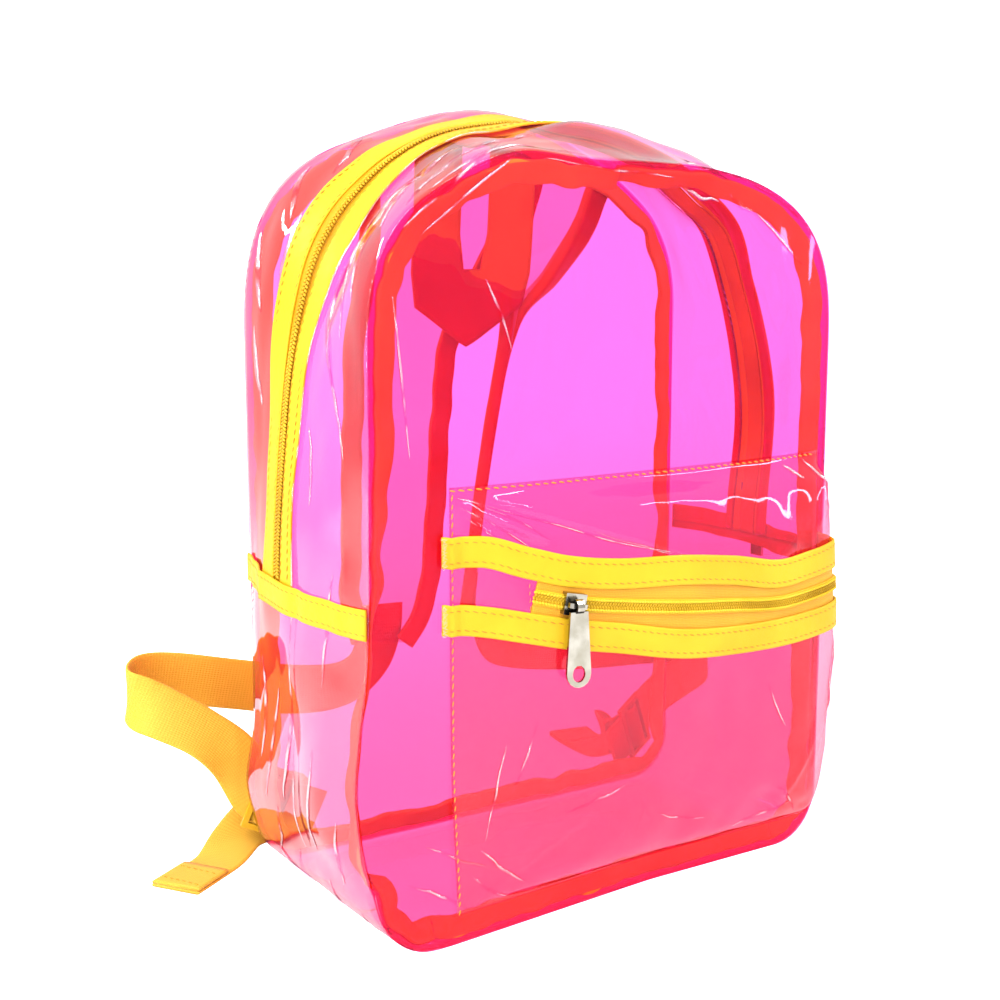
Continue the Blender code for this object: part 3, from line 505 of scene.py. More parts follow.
# repeats: a stitch, tooth or fibre at each point of a path, laid by Geometry Nodes
def repeatTree(name):
    tree = bpy.data.node_groups.new(name, "GeometryNodeTree")
    face = tree.interface
    face.new_socket("Geometry", in_out="INPUT", socket_type="NodeSocketGeometry")
    for title in ("Length", "Width", "Height", "Jitter"):
        face.new_socket(title, in_out="INPUT", socket_type="NodeSocketFloat")
    face.new_socket("Seed", in_out="INPUT", socket_type="NodeSocketInt")
    face.new_socket("Finish", in_out="INPUT", socket_type="NodeSocketMaterial")
    face.new_socket("Geometry", in_out="OUTPUT", socket_type="NodeSocketGeometry")
    new, link = tree.nodes.new, tree.links.new
    source, result = new("NodeGroupInput"), new("NodeGroupOutput")
    bead = new("GeometryNodeMeshUVSphere")
    for title, value in (("Segments", 8), ("Rings", 5), ("Radius", 0.5)):
        bead.inputs[title].default_value = value
    size = new("ShaderNodeCombineXYZ")
    for socket, title in (("X", "Height"), ("Y", "Width"), ("Z", "Length")):
        link(source.outputs[title], size.inputs[socket])
    along, out = new("GeometryNodeInputNamedAttribute"), new("GeometryNodeInputNamedAttribute")
    for node, title in ((along, "along"), (out, "out")):
        node.data_type = "FLOAT_VECTOR"
        node.inputs["Name"].default_value = title
    first, second = new("FunctionNodeAlignRotationToVector"), new("FunctionNodeAlignRotationToVector")
    first.axis = "Z"
    second.axis, second.pivot_axis = "X", "Z"
    link(along.outputs["Attribute"], first.inputs["Vector"])
    link(first.outputs["Rotation"], second.inputs["Rotation"])
    link(out.outputs["Attribute"], second.inputs["Vector"])
    chance = new("FunctionNodeRandomValue")
    chance.data_type = "FLOAT"
    link(source.outputs["Seed"], chance.inputs["Seed"])
    low = new("ShaderNodeMath")
    low.operation = "SUBTRACT"
    low.inputs[0].default_value = 1.0
    link(source.outputs["Jitter"], low.inputs[1])
    link(low.outputs[0], chance.inputs[2])
    chance.inputs[3].default_value = 1.0
    scaled = new("ShaderNodeVectorMath")
    scaled.operation = "SCALE"
    link(size.outputs[0], scaled.inputs[0])
    link(chance.outputs[1], scaled.inputs["Scale"])
    beads, real = new("GeometryNodeInstanceOnPoints"), new("GeometryNodeRealizeInstances")
    smoothed, paint = new("GeometryNodeSetShadeSmooth"), new("GeometryNodeSetMaterial")
    for node, output, target, title in (
        (source, "Geometry", beads, "Points"), (bead, "Mesh", beads, "Instance"),
        (second, "Rotation", beads, "Rotation"), (scaled, "Vector", beads, "Scale"),
        (beads, "Instances", real, "Geometry"), (real, "Geometry", smoothed, "Geometry"),
        (smoothed, "Geometry", paint, "Geometry"), (source, "Finish", paint, "Material"),
        (paint, "Geometry", result, "Geometry"),
    ):
        link(node.outputs[output], target.inputs[title])
    return tree


beadTree = repeatTree("beadsOnPath")


def repeatPiece(name, places, length, width, height, finish, slot, node, jitter, seed):
    # places: rows of point, direction of the bead's length, direction out of the surface
    mesh = bpy.data.meshes.new(name + "Points")
    mesh.from_pydata([tuple(settle(p) * mm) for p, _, _ in places], [], [])
    for title, column in (("along", 1), ("out", 2)):
        layer = mesh.attributes.new(title, "FLOAT_VECTOR", "POINT")
        for k, row in enumerate(places):
            layer.data[k].vector = row[column]
    carrier = bpy.data.objects.new(name + "Carrier", mesh)
    scene.collection.objects.link(carrier)
    modifier = carrier.modifiers.new("Beads", "NODES")
    modifier.node_group = beadTree
    values = {
        "Length": length * mm, "Width": width * mm, "Height": height * mm, "Jitter": jitter, "Seed": seed,
        "Finish": finishes[finish],
    }
    for item in beadTree.interface.items_tree:
        if item.in_out == "INPUT" and item.name in values:
            modifier[item.identifier] = values[item.name]
    bpy.context.view_layer.update()
    made = bpy.data.meshes.new_from_object(carrier.evaluated_get(bpy.context.evaluated_depsgraph_get()))
    bpy.data.objects.remove(carrier, do_unlink=True)
    made.name = name
    if not made.materials:
        made.materials.append(finishes[finish])
    piece = bpy.data.objects.new(name, made)
    scene.collection.objects.link(piece)
    place(piece, slot, node)


def spaced(path, pitch, inset=0.0):
    # even places along rows of point and outward direction
    result, carry = [], inset
    for (a, outA), (b, outB) in zip(path, path[1:]):
        step = b - a
        length = step.length
        while carry < length:
            t = carry / length
            result.append((a + step * t, step.normalized(), (outA + (outB - outA) * t).normalized()))
            carry += pitch
        carry -= length
    return result


# the bag's shape: outline seen from the front, gusset round it, two panels
body = {
    "width": 240.0, "height": 315.0, "depth": 112.0, "cornerRadius": 24.0, "archRise": 80.0, "archPower": 3.0,
    "frontBulge": 10.0, "backBulge": 5.0, "bulgePower": 2.6,
    "panelCentre": 150.0, "film": 0.5, "stations": 280, "bandHeight": 138.0, "bandWidth": 12.6,
    "bindingStart": 4.0, "bindingWidth": 8.0,
}
halfDepth = body["depth"] / 2


def outlineRing():
    half, radius = body["width"] / 2, body["cornerRadius"]
    spring = body["height"] - body["archRise"]
    right = [((half - radius) * i / 12, 0.0) for i in range(12)]
    for i in range(16):
        turn = -math.pi / 2 + math.pi / 2 * i / 16
        right.append((half - radius + radius * math.cos(turn), radius + radius * math.sin(turn)))
    right += [(half, radius + (spring - radius) * i / 40) for i in range(40)]
    for i in range(91):
        turn = math.pi / 2 * i / 90
        power = 2 / body["archPower"]
        right.append((half * max(math.cos(turn), 0.0) ** power, spring + body["archRise"] * math.sin(turn) ** power))
    right[-1] = (0.0, body["height"])
    dense = right + [(-x, z) for x, z in right[-2:0:-1]]
    dense.append(dense[0])
    runs = [0.0]
    for (x0, z0), (x1, z1) in zip(dense, dense[1:]):
        runs.append(runs[-1] + math.hypot(x1 - x0, z1 - z0))
    count, at = body["stations"], 0
    ring = []
    for k in range(count):
        want = runs[-1] * k / count
        while runs[at + 1] < want:
            at += 1
        t = (want - runs[at]) / (runs[at + 1] - runs[at])
        ring.append(tuple(a + (b - a) * t for a, b in zip(dense[at], dense[at + 1])))
    return ring


ring = outlineRing()
stationCount = len(ring)


def ringAt(k):
    # place and inward direction at a station, whole or between two
    low = math.floor(k)
    t = k - low
    ends = [ring[(low + d) % stationCount] for d in (-1, 0, 1, 2)]
    x = ends[1][0] + (ends[2][0] - ends[1][0]) * t
    z = ends[1][1] + (ends[2][1] - ends[1][1]) * t
    before = Vector((ends[2][0] - ends[0][0], ends[2][1] - ends[0][1]))
    after = Vector((ends[3][0] - ends[1][0], ends[3][1] - ends[1][1]))
    way = (before + (after - before) * t).normalized()
    return x, z, Vector((-way.y, 0.0, way.x))


bandStation = next(
    k / 20 for k in range(20, 20 * stationCount) if ringAt(k / 20)[1] >= body["bandHeight"] and ringAt(k / 20)[0] > 0
)


# how far the gusset stands out of the seams, by height, on each side
crowns = {
    "left": ((0, 0), (20, 2), (50, 9), (138, 9), (190, 6.5), (230, 3), (265, 0.5), (300, 0.5), (315, 2)),
    "right": ((0, 0), (20, 2), (50, 9), (138, 9), (190, 13), (230, 8), (266, -2), (300, -3), (315, 2)),
}
shoulderSag = {"x": -108.0, "z": 283.0, "y": -9.0, "reach": 40.0, "spread": 21.0, "depth": 13.0}
zipDip = {"depth": 5.0, "y": 9.0, "spread": 15.0, "heights": (285, 305), "sides": (-18, 16)}
crest = {"height": 7.0, "y": -16.0, "spread": 16.0, "heights": (262, 302), "sides": (-40, 15), "depths": (6, -6)}
gussetSlack = {"share": 2.5, "heights": (4, 34)}
gussetWaves = {"long": (46.0, 2.6, 3.0), "short": (17.0, 1.3, 8.0)}
zipHold = {"share": 0.75, "y": 7.0, "spread": 15.0, "heights": (120, 140)}


def crownAt(x, z):
    left, right = curveThrough(crowns["left"], z, 1), curveThrough(crowns["right"], z, 1)
    return left + (right - left) * smooth(0.5 + x / 60)


def ridgeAt(form, size, x, y, z):
    return form[size] * bell(y, form["y"], form["spread"]) * climb(z, *form["heights"]) * climb(x, *form["sides"])


def gussetPoint(k, y, lift=0.0):
    x, z, inward = ringAt(k)
    held = 1 - (2 * y / body["depth"]) ** 2
    away = math.hypot(x - shoulderSag["x"], z - shoulderSag["z"]) / shoulderSag["reach"]
    across = (y - shoulderSag["y"]) / shoulderSag["spread"]
    rise = crownAt(x, z) * held - ridgeAt(zipDip, "depth", x, y, z)
    rise -= shoulderSag["depth"] * math.exp(-away * away - across * across) * min(held * 4, 1.0)
    point = Vector((x, y, z)) - inward * rise
    point.x += seamShift(x, z, 2 * y / body["depth"])
    lift += ridgeAt(crest, "height", x, y, z) * climb(y, *crest["depths"])
    slack = min(1.0, held * gussetSlack["share"]) * climb(z, *gussetSlack["heights"])
    slack *= 1 - zipHold["share"] * bell(y, zipHold["y"], zipHold["spread"], 4) * climb(z, *zipHold["heights"])
    loose = wave(point, *gussetWaves["long"])
    loose += wave(Vector((point.x, point.y * 1.6, point.z * 0.5)), *gussetWaves["short"])
    return point - inward * (loose * slack + lift)


def gussetOut(k):
    return -ringAt(k)[2]


def panelDepth(share, bulge):
    return halfDepth + bulge * (1 - min(share, 1.0) ** body["bulgePower"])


def shareOf(x, z):
    # 0 in the middle of a panel, 1 on its seam
    for k in range(stationCount):
        (ax, az), (bx, bz) = ring[k], ring[(k + 1) % stationCount]
        az, bz, rise = az - body["panelCentre"], bz - body["panelCentre"], z - body["panelCentre"]
        across = ax * bz - az * bx
        first, second = (x * bz - rise * bx) / across, (ax * rise - az * x) / across
        if first >= -1e-9 and second >= -1e-9:
            return first + second
    return 1.0


def frontY(x, z):
    return -panelDepth(shareOf(x, z), body["frontBulge"])


# how the seam allowance leans, in degrees: flat to the panel near 0, flat to the gusset near 90
lean = {
    "back": 26, "backRight": 16, "backFloor": 14, "floor": 12, "floorTop": 14, "corner": 34, "cornerTop": 30,
    "cornerReach": 92, "right": 30, "leftLow": 72, "leftHigh": 10, "leftHeights": (120, 210),
    "ripple": 24, "rippleSize": 20.0, "least": 7.0,
}


def flangeTurn(k, side):
    x, z, _ = ringAt(k)
    if side > 0:
        base = lean["back"] + (lean["backRight"] - lean["back"]) * smooth(x / 60)
        if z < lean["floorTop"]:
            base = lean["backFloor"]
    elif z < lean["cornerTop"] and abs(x) > lean["cornerReach"]:
        base = lean["corner"]
    elif z < lean["floorTop"]:
        base = lean["floor"]
    elif x < 0:
        base = lean["leftLow"] + (lean["leftHigh"] - lean["leftLow"]) * climb(z, *lean["leftHeights"])
    else:
        base = lean["right"]
    base += noise.noise(Vector((x, z, side * 9)) / lean["rippleSize"]) * lean["ripple"]
    return math.radians(max(base, lean["least"]))


# the lower left corner of the front is pushed out by the film's own stiffness
cornerPush = {"out": 7.0, "height": 64, "reach": 42, "sides": (-60, -120)}


def seamShift(x, z, y):
    push = bell(z, cornerPush["height"], cornerPush["reach"]) * climb(x, *cornerPush["sides"])
    return -cornerPush["out"] * push * smooth(0.2 - y * 1.2)


def seamPoint(k, reach, side, offset=0.0):
    x, z, inward = ringAt(k)
    turn = flangeTurn(k, side)
    reach += noise.noise(Vector((x, z, side * 30)) / 10.0) * 1.5 * min(reach / 5, 1.0)
    inset = reach * math.cos(turn) - offset * math.sin(turn)
    depth = reach * math.sin(turn) + offset * math.cos(turn)
    return Vector((x + seamShift(x, z, side), side * (halfDepth - depth), z)) + inward * inset


panelShares = (
    0.04, 0.1, 0.18, 0.26, 0.34, 0.42, 0.5, 0.57, 0.64, 0.7, 0.75, 0.8, 0.84, 0.875, 0.905, 0.93, 0.95, 0.967, 0.98,
    0.99, 0.997,
)
flangeReach = (0.4, 3.0, 6.0, 9.0, 11.0)


def panelPush(flat, share, side, loose):
    slack = min(1.0, (1 - share) * 9)
    push = wave(flat, 70.0, 2.4, side * 4.0) + wave(flat, 24.0, 0.7, side * 7.0)
    push += wave(Vector((flat.x * 2.2, 0, flat.z * 0.6)), 30.0, 0.8, 12.0) * climb(flat.z, 210, 270)
    return push * slack * loose


def frontSkin(x, z):
    share = shareOf(x, z)
    return Vector((x, -panelDepth(share, body["frontBulge"]) - panelPush(Vector((x, 0, z)), share, -1, 1.0), z))


def panelPiece(name, node, side, bulge, loose):
    centre = Vector((0.0, 0.0, body["panelCentre"]))
    rows = []
    for share in panelShares:
        row = []
        for k in range(stationCount):
            x, z = ring[k]
            flat = centre + (Vector((x, 0.0, z)) - centre) * share
            push = panelPush(flat, share, side, loose)
            x = flat.x + seamShift(flat.x, flat.z, side) * share ** 8
            row.append(Vector((x, side * (panelDepth(share, bulge) + push), flat.z)))
        rows.append(row)
    for reach in flangeReach:
        rows.append([seamPoint(k, reach, side, -0.3) for k in range(stationCount)])
    pole = Vector((0.0, sum(p.y for p in rows[0]) / stationCount, body["panelCentre"]))
    sheetPiece(name, rows, body["film"], "film", "pink_film", [node], closed=True, pole=pole, inside=-side)


panelPiece("frontPanelFilm", "front_panel", -1, body["frontBulge"], 1.0)
panelPiece("backPanelFilm", "back_panel", 1, body["backBulge"], 1.2)


def stationsBetween(first, last, step=1.0):
    count = max(2, int(abs(last - first) / step))
    return [first + (last - first) * i / count for i in range(count + 1)]


def gussetPiece(name, node, first, last, low, high, front, back):
    count = 22 if front and back else 12
    columns = [low + (high - low) * i / count for i in range(count + 1)]
    rows = []
    for k in stationsBetween(first, last):
        row = [gussetPoint(k, y) for y in columns]
        if front:
            row = [seamPoint(k, reach, -1, 0.3) for reach in reversed(flangeReach)] + row
        if back:
            row += [seamPoint(k, reach, 1, 0.3) for reach in flangeReach]
        rows.append(row)
    sheetPiece(name, rows, body["film"], "sideFilm", "pink_film", [node])


mainZip = {"width": 28.0, "centre": 7.0, "lap": 6.0, "gap": 6.6, "coilShift": -1.2, "tooth": 1.5}
zipLow, zipHigh = mainZip["centre"] - mainZip["width"] / 2, mainZip["centre"] + mainZip["width"] / 2
edge = halfDepth - 0.6
gussetPiece("lowerGussetFilm", "gusset_lower", -bandStation, bandStation, -edge, edge, True, True)
topSpan = bandStation, stationCount - bandStation
gussetPiece("upperGussetFrontFilm", "gusset_upper_front", *topSpan, -edge, zipLow + mainZip["lap"], True, False)
gussetPiece("upperGussetBackFilm", "gusset_upper_back", *topSpan, zipHigh - mainZip["lap"], edge, False, True)


def bindingPiece(name, node, side):
    middles, asides = [], []
    reach = body["bindingStart"] + body["bindingWidth"] / 2
    for k in range(stationCount * 2):
        inner, outer = seamPoint(k / 2, reach + 3, side), seamPoint(k / 2, reach - 3, side)
        middles.append((inner + outer) / 2)
        asides.append(outer - inner)
    stripPiece(name, middles, asides, body["bindingWidth"] + 1.0, 2.4, "binding", "yellow_vinyl", [node], closed=True)


bindingPiece("frontSeamBinding", "front_seam_binding", -1)
bindingPiece("backSeamBinding", "back_seam_binding", 1)
print("film shell ready")


# main zip: two vinyl-faced tapes with a row of coil teeth between them
def zipSide(name, low, high, lift, nodes, finish="vinyl"):
    middles, asides = [], []
    for k in stationsBetween(bandStation, stationCount - bandStation, 0.5):
        a, b = gussetPoint(k, low, lift), gussetPoint(k, high, lift)
        middles.append((a + b) / 2)
        asides.append(b - a)
    stripPiece(name, middles, asides, high - low, 1.1, finish, "yellow_tape", nodes)


half = mainZip["gap"] / 2
coilY = mainZip["centre"] + mainZip["coilShift"]
zipSide("mainZipFront", zipLow, coilY - half, 0.9, ["main_zip_tape"])
zipSide("mainZipBack", coilY + half, zipHigh, 1.1, [])
# painted shade: a darker strip under the coil where the groove lies in shade
zipSide("mainZipShadeBed", coilY - half - 1.5, coilY + half + 1.5, 0.1, [], "groove")


def teethPieces(name, path, pitch, cordShift, nodes, seed):
    # the corded edges stand at cordShift from the middle; there are none where it is nought
    teeth, cords = [], []
    reach, size = (0.7, 1.9) if cordShift else (1.1, 2.9)
    for point, along, out in spaced(path, pitch):
        across = out.cross(along)
        for sign in (-1, 1):
            tooth = (across * sign + along * 0.5).normalized()
            teeth.append((point + across * sign * reach + along * (0.33 * sign), tooth, out))
            cords.append((point + across * sign * cordShift, (along + across * sign * 0.45).normalized(), out))
    repeatPiece(name + "Teeth", teeth, size, size * 0.43, size * 0.45, "coil", "yellow_tape", nodes, 0.05, seed)
    if cordShift:
        repeatPiece(name + "Cords", cords, pitch * 1.35, 1.25, 1.25, "cord", "yellow_tape", (), 0.05, seed + 1)


def mainZipTeeth():
    path = []
    for k in stationsBetween(bandStation + 2, stationCount - bandStation - 2, 0.25):
        path.append((gussetPoint(k, coilY - 0.3, 1.4), gussetOut(k)))
    teethPieces("mainZip", path, mainZip["tooth"], 0.0, ["main_zip_coil"], 3)


mainZipTeeth()


def stitchLine(name, path, seed, finish="thread", slot="yellow_tape", pitch=3.5, length=2.7, thick=0.6):
    places = []
    for point, along, out in spaced(path, pitch, 1.0):
        places.append((point, (along + along.cross(out) * 0.22).normalized(), out))
    repeatPiece(name, places, length, thick, thick * 0.8, finish, slot, (), 0.2, seed)


for name, y in (
    ("mainZipStitchFront", zipLow + 2.6), ("mainZipStitchBack", zipHigh - 2.6),
    ("mainZipSeamFront", coilY - half - 1.0), ("mainZipSeamBack", coilY + half + 1.0),
):
    rows = stationsBetween(bandStation + 2, stationCount - bandStation - 2, 0.5)
    stitchLine(name, [(gussetPoint(k, y, 1.5), gussetOut(k)) for k in rows], 5)


# bands over the gusset's joints
sideBand = {"sway": 2.3, "thickness": 1.2, "stitchInset": 2.4}


def sideBandPiece(label, node, side):
    middles, asides = [], []
    k = bandStation if side > 0 else stationCount - bandStation
    for i in range(61):
        y = -halfDepth + 1.0 + (body["depth"] - 2.0) * i / 60
        sway = sideBand["sway"] * math.tanh(y / (body["depth"] / 4)) + wave(Vector((y, 0, 0)), 16.0, 0.5, side)
        overZip = 1 - smooth((abs(y - mainZip["centre"]) - mainZip["width"] / 2) / 6.0)
        point = gussetPoint(k, y, 0.9 + overZip * 1.3)
        point.z = body["bandHeight"] + sway
        middles.append(point)
        asides.append(Vector((0.0, 0.0, 1.0)))
    thickness, out = sideBand["thickness"], Vector((side, 0.0, 0.0))
    stripPiece("sideBand" + label, middles, asides, body["bandWidth"], thickness, "vinyl", "yellow_vinyl", [node])
    for tag, sign in (("Upper", 1), ("Lower", -1)):
        shift = Vector((side * 0.62, 0.0, sign * (body["bandWidth"] / 2 - sideBand["stitchInset"])))
        stitchLine("sideBand%sStitch%s" % (label, tag), [(p + shift, out) for p in middles], 7)


sideBandPiece("Left", "side_band_left", -1)
sideBandPiece("Right", "side_band_right", 1)
print("zip and side bands ready")


# front pocket
pocket = {
    "left": -88.0, "right": 113.0, "bottom": 14.0, "top": 188.0, "depth": 21.0, "lift": 0.8,
    "bandWidth": 12.6, "tab": 30.0,
}
pocketWidth, pocketHeight = pocket["right"] - pocket["left"], pocket["top"] - pocket["bottom"]
# place across and share of the depth; level up and share of the depth; place across and both bands' heights
pocketAcross = (
    (-0.03, 0.0), (0.0, 0.0), (0.05, 0.2), (0.12, 0.46), (0.21, 0.72), (0.32, 0.9), (0.46, 1.0), (0.62, 1.0),
    (0.78, 0.98), (0.9, 0.96), (0.95, 0.9), (0.972, 0.78), (0.985, 0.5), (1.0, 0.0),
)
pocketUp = (
    (0.0, 0.0), (0.05, 0.38), (0.13, 0.66), (0.3, 0.88), (0.6, 0.98), (1.0, 1.0), (2.0, 0.92), (2.3, 0.86),
    (2.7, 0.62), (3.0, 0.0),
)
bandPaths = (
    (-0.03, 0.70, 0.855), (0.05, 0.695, 0.855), (0.14, 0.675, 0.825), (0.22, 0.655, 0.8), (0.32, 0.635, 0.785),
    (0.48, 0.598, 0.775), (0.62, 0.583, 0.755), (0.78, 0.577, 0.725), (0.9, 0.582, 0.735), (1.0, 0.592, 0.745),
)
# folds: from and to as place across and level, width and height
pocketFolds = (
    (0.02, 2.95, 0.62, 2.05, 1.6, 1.5), (0.03, 2.85, 0.52, 2.1, 1.3, -1.1), (0.02, 2.75, 0.2, 2.3, 1.4, 1.8),
    (0.04, 2.6, 0.17, 2.2, 1.2, -1.5), (0.01, 0.9, 0.1, 0.2, 2.0, 1.3), (0.03, 0.03, 0.3, 0.35, 2.4, 1.6),
    (0.98, 0.95, 0.9, 0.25, 2.2, 1.8), (0.97, 0.06, 0.72, 0.3, 2.4, -1.6), (0.99, 2.9, 0.9, 2.2, 1.6, 1.6),
    (0.97, 0.7, 0.8, 0.12, 1.8, 1.4), (0.06, 0.02, 0.16, 0.5, 1.8, -1.3),
)


def pocketLevels(across):
    low = pocket["bottom"]
    return (
        low, low + pocketHeight * curveThrough(bandPaths, across, 1),
        low + pocketHeight * curveThrough(bandPaths, across, 2), pocket["top"],
    )


def heightAt(across, level):
    # levels 0 to 3 are the pocket's bottom, both bands and its top
    levels = pocketLevels(across)
    k = min(int(level), 2)
    return levels[k] + (levels[k + 1] - levels[k]) * (level - k)


def foldAt(x, z):
    push = 0.0
    for a0, l0, a1, l1, wide, high in pocketFolds:
        start, end = (Vector((pocket["left"] + pocketWidth * a, heightAt(a, l))) for a, l in ((a0, l0), (a1, l1)))
        run, at = end - start, Vector((x, z)) - start
        t = at.dot(run) / run.length_squared
        if -0.05 < t < 1.05:
            push += high * bell((at - run * t).length, 0, wide) * smooth(t * 5) * smooth((1 - t) * 3)
    return push


def pocketPoint(across, z, lift=0.0, loose=1.0):
    levels = pocketLevels(across)
    level = 3.0
    for k in range(3):
        if z <= levels[k + 1]:
            level = k + max((z - levels[k]) / (levels[k + 1] - levels[k]), 0.0)
            break
    x = pocket["left"] + pocketWidth * across
    share = curveThrough(pocketAcross, across, 1) * curveThrough(pocketUp, level, 1)
    depth = pocket["depth"] * share
    point = Vector((x, frontY(x, z) - pocket["lift"] - depth - lift, z))
    slack = min(share * 1.5, 1.0) * loose
    point.y -= (wave(point, 34.0, 2.0, 21.0) + wave(point, 12.0, 0.5, 25.0)) * slack
    if loose > 0.5:
        point.y -= foldAt(x, z) * min(share * 3, 1.0)
    return point


def pocketOut(across, z, loose=1.0):
    a, b = pocketPoint(max(across - 0.01, 0), z, 0, loose), pocketPoint(min(across + 0.01, 1), z, 0, loose)
    c, d = pocketPoint(across, z - 2, 0, loose), pocketPoint(across, z + 2, 0, loose)
    return (b - a).cross(d - c).normalized()


def pocketFilm(name, node, acrosses, lowLevel, highLevel, rows):
    grid = []
    for across in acrosses:
        line = []
        for i in range(rows + 1):
            level = lowLevel + (highLevel - lowLevel) * (i / rows) ** (1.0 if lowLevel else 1.5)
            line.append(pocketPoint(across, heightAt(across, level)))
        grid.append(line)
    sheetPiece(name, grid, body["film"], "pocketFilm", "pink_film", [node])


columnsAcross = [i / 84 for i in range(0, 79)] + [0.945, 0.955, 0.963, 0.972, 0.98, 0.987, 0.993, 1.0]
pocketFilm("pocketLowerFilm", "pocket_lower", columnsAcross, 0.0, 1.03, 54)
pocketFilm("pocketUpperFilm", "pocket_upper", columnsAcross, 1.97, 3.0, 26)
tabShare = pocket["tab"] / pocketWidth
pocketFilm("pocketTabFilm", "pocket_zip_tab", [c for c in columnsAcross if c <= tabShare + 0.02], 0.97, 2.03, 14)


def pocketStrip(name, acrosses, middle, width, lift, thickness, finish, slot, node, endLift=0.0):
    middles, asides = [], []
    for across in acrosses:
        z = heightAt(across, middle)
        raised = endLift * smooth((0.035 - across) / 0.05)
        middles.append(pocketPoint(across, z, raised, underBand) + pocketOut(across, z, underBand) * lift)
        asides.append(pocketPoint(across, z + 4, 0, underBand) - pocketPoint(across, z - 4, 0, underBand))
    stripPiece(name, middles, asides, width, thickness, finish, slot, node)
    return middles, asides


underBand = 0.4  # the share of the film's looseness that a sewn band keeps
fine = [i / 140 for i in range(-3, 133)] + [0.95, 0.958, 0.966, 0.974, 0.981, 0.988, 0.994, 1.0]
for label, level, nodes, seed in (("Lower", 1, ["pocket_band_lower"], 11), ("Upper", 2, ["pocket_band_upper"], 17)):
    middles, asides = pocketStrip(
        "pocketBand" + label, fine, level, pocket["bandWidth"], 1.6, 1.2, "vinyl", "yellow_vinyl", nodes,
        endLift=3.2,
    )
    for tag, sign in (("Top", 1), ("Bottom", -1)):
        path = []
        for i, (middle, aside) in enumerate(zip(middles, asides)):
            out = stepAt(middles, i).cross(aside).normalized()
            path.append((middle + aside.normalized() * sign * (pocket["bandWidth"] / 2 - 2.4) + out * 0.62, out))
        stitchLine("pocketBand%sStitch%s" % (label, tag), path, seed)


def bandFray(label, level, seed):
    # loose fibres at the cut left end of a band
    places = []
    z = heightAt(fine[0], level)
    for i in range(26):
        up = (i / 25 - 0.5) * (pocket["bandWidth"] - 0.8)
        way = Vector((-1.0, math.sin(i * 5.1 + seed) * 0.35, math.sin(i * 2.3 + seed) * 0.7)).normalized()
        point = pocketPoint(fine[0], z, 4.6, underBand) + Vector((-0.4 + math.sin(i * 3.7) * 0.5, 0.0, up))
        places.append((point, way, Vector((0.0, -1.0, 0.0))))
    repeatPiece("bandFray" + label, places, 2.6, 0.28, 0.28, "fray", "yellow_vinyl", (), 0.5, seed)


bandFray("Lower", 1, 41)
bandFray("Upper", 2, 43)
zipColumns = [c for c in fine if c >= tabShare]
pocketStrip("pocketZipTape", zipColumns, 1.5, 22.0, 0.4, 0.8, "tape", "yellow_tape", ["pocket_zip_tape"])
pocketStrip("pocketZipCord", zipColumns, 1.5, 6.4, 1.2, 0.9, "vinyl", "yellow_tape", [])


def pocketTeeth():
    path = []
    for across in zipColumns:
        z = heightAt(across, 1.5)
        out = pocketOut(across, z, underBand)
        path.append((pocketPoint(across, z, 0, underBand) + out * 1.9, out))
    teethPieces("pocketZip", path, 1.3, 2.0, ["pocket_zip_coil"], 9)


pocketTeeth()
ahead = Vector((0, -1, 0))
topSeam = [(pocketPoint(i / 120, pocket["top"] - 1.2, 0.7), ahead) for i in range(118)]
stitchLine("pocketTopStitch", topSeam, 23, "orangeThread", pitch=3.8, length=3.0, thick=0.8)
leftSeam = [(pocketPoint(0.004, pocket["bottom"] + pocketHeight * i / 130, 0.7), ahead) for i in range(130)]
stitchLine("pocketSideStitch", leftSeam, 29, "orangeThread", pitch=3.6, length=2.8, thick=0.75)
tabAcross, tabInset = tabShare * 0.94, 7
tabLow, tabHigh = heightAt(tabAcross, 1) + tabInset, heightAt(tabAcross, 2) - tabInset
tabSeam = [(pocketPoint(tabAcross, tabLow + (tabHigh - tabLow) * i / 19, 0.8), ahead) for i in range(20)]
stitchLine("pocketTabStitch", tabSeam, 31, "orangeThread", pitch=3.0, length=2.3, thick=0.4)
print("pocket ready")


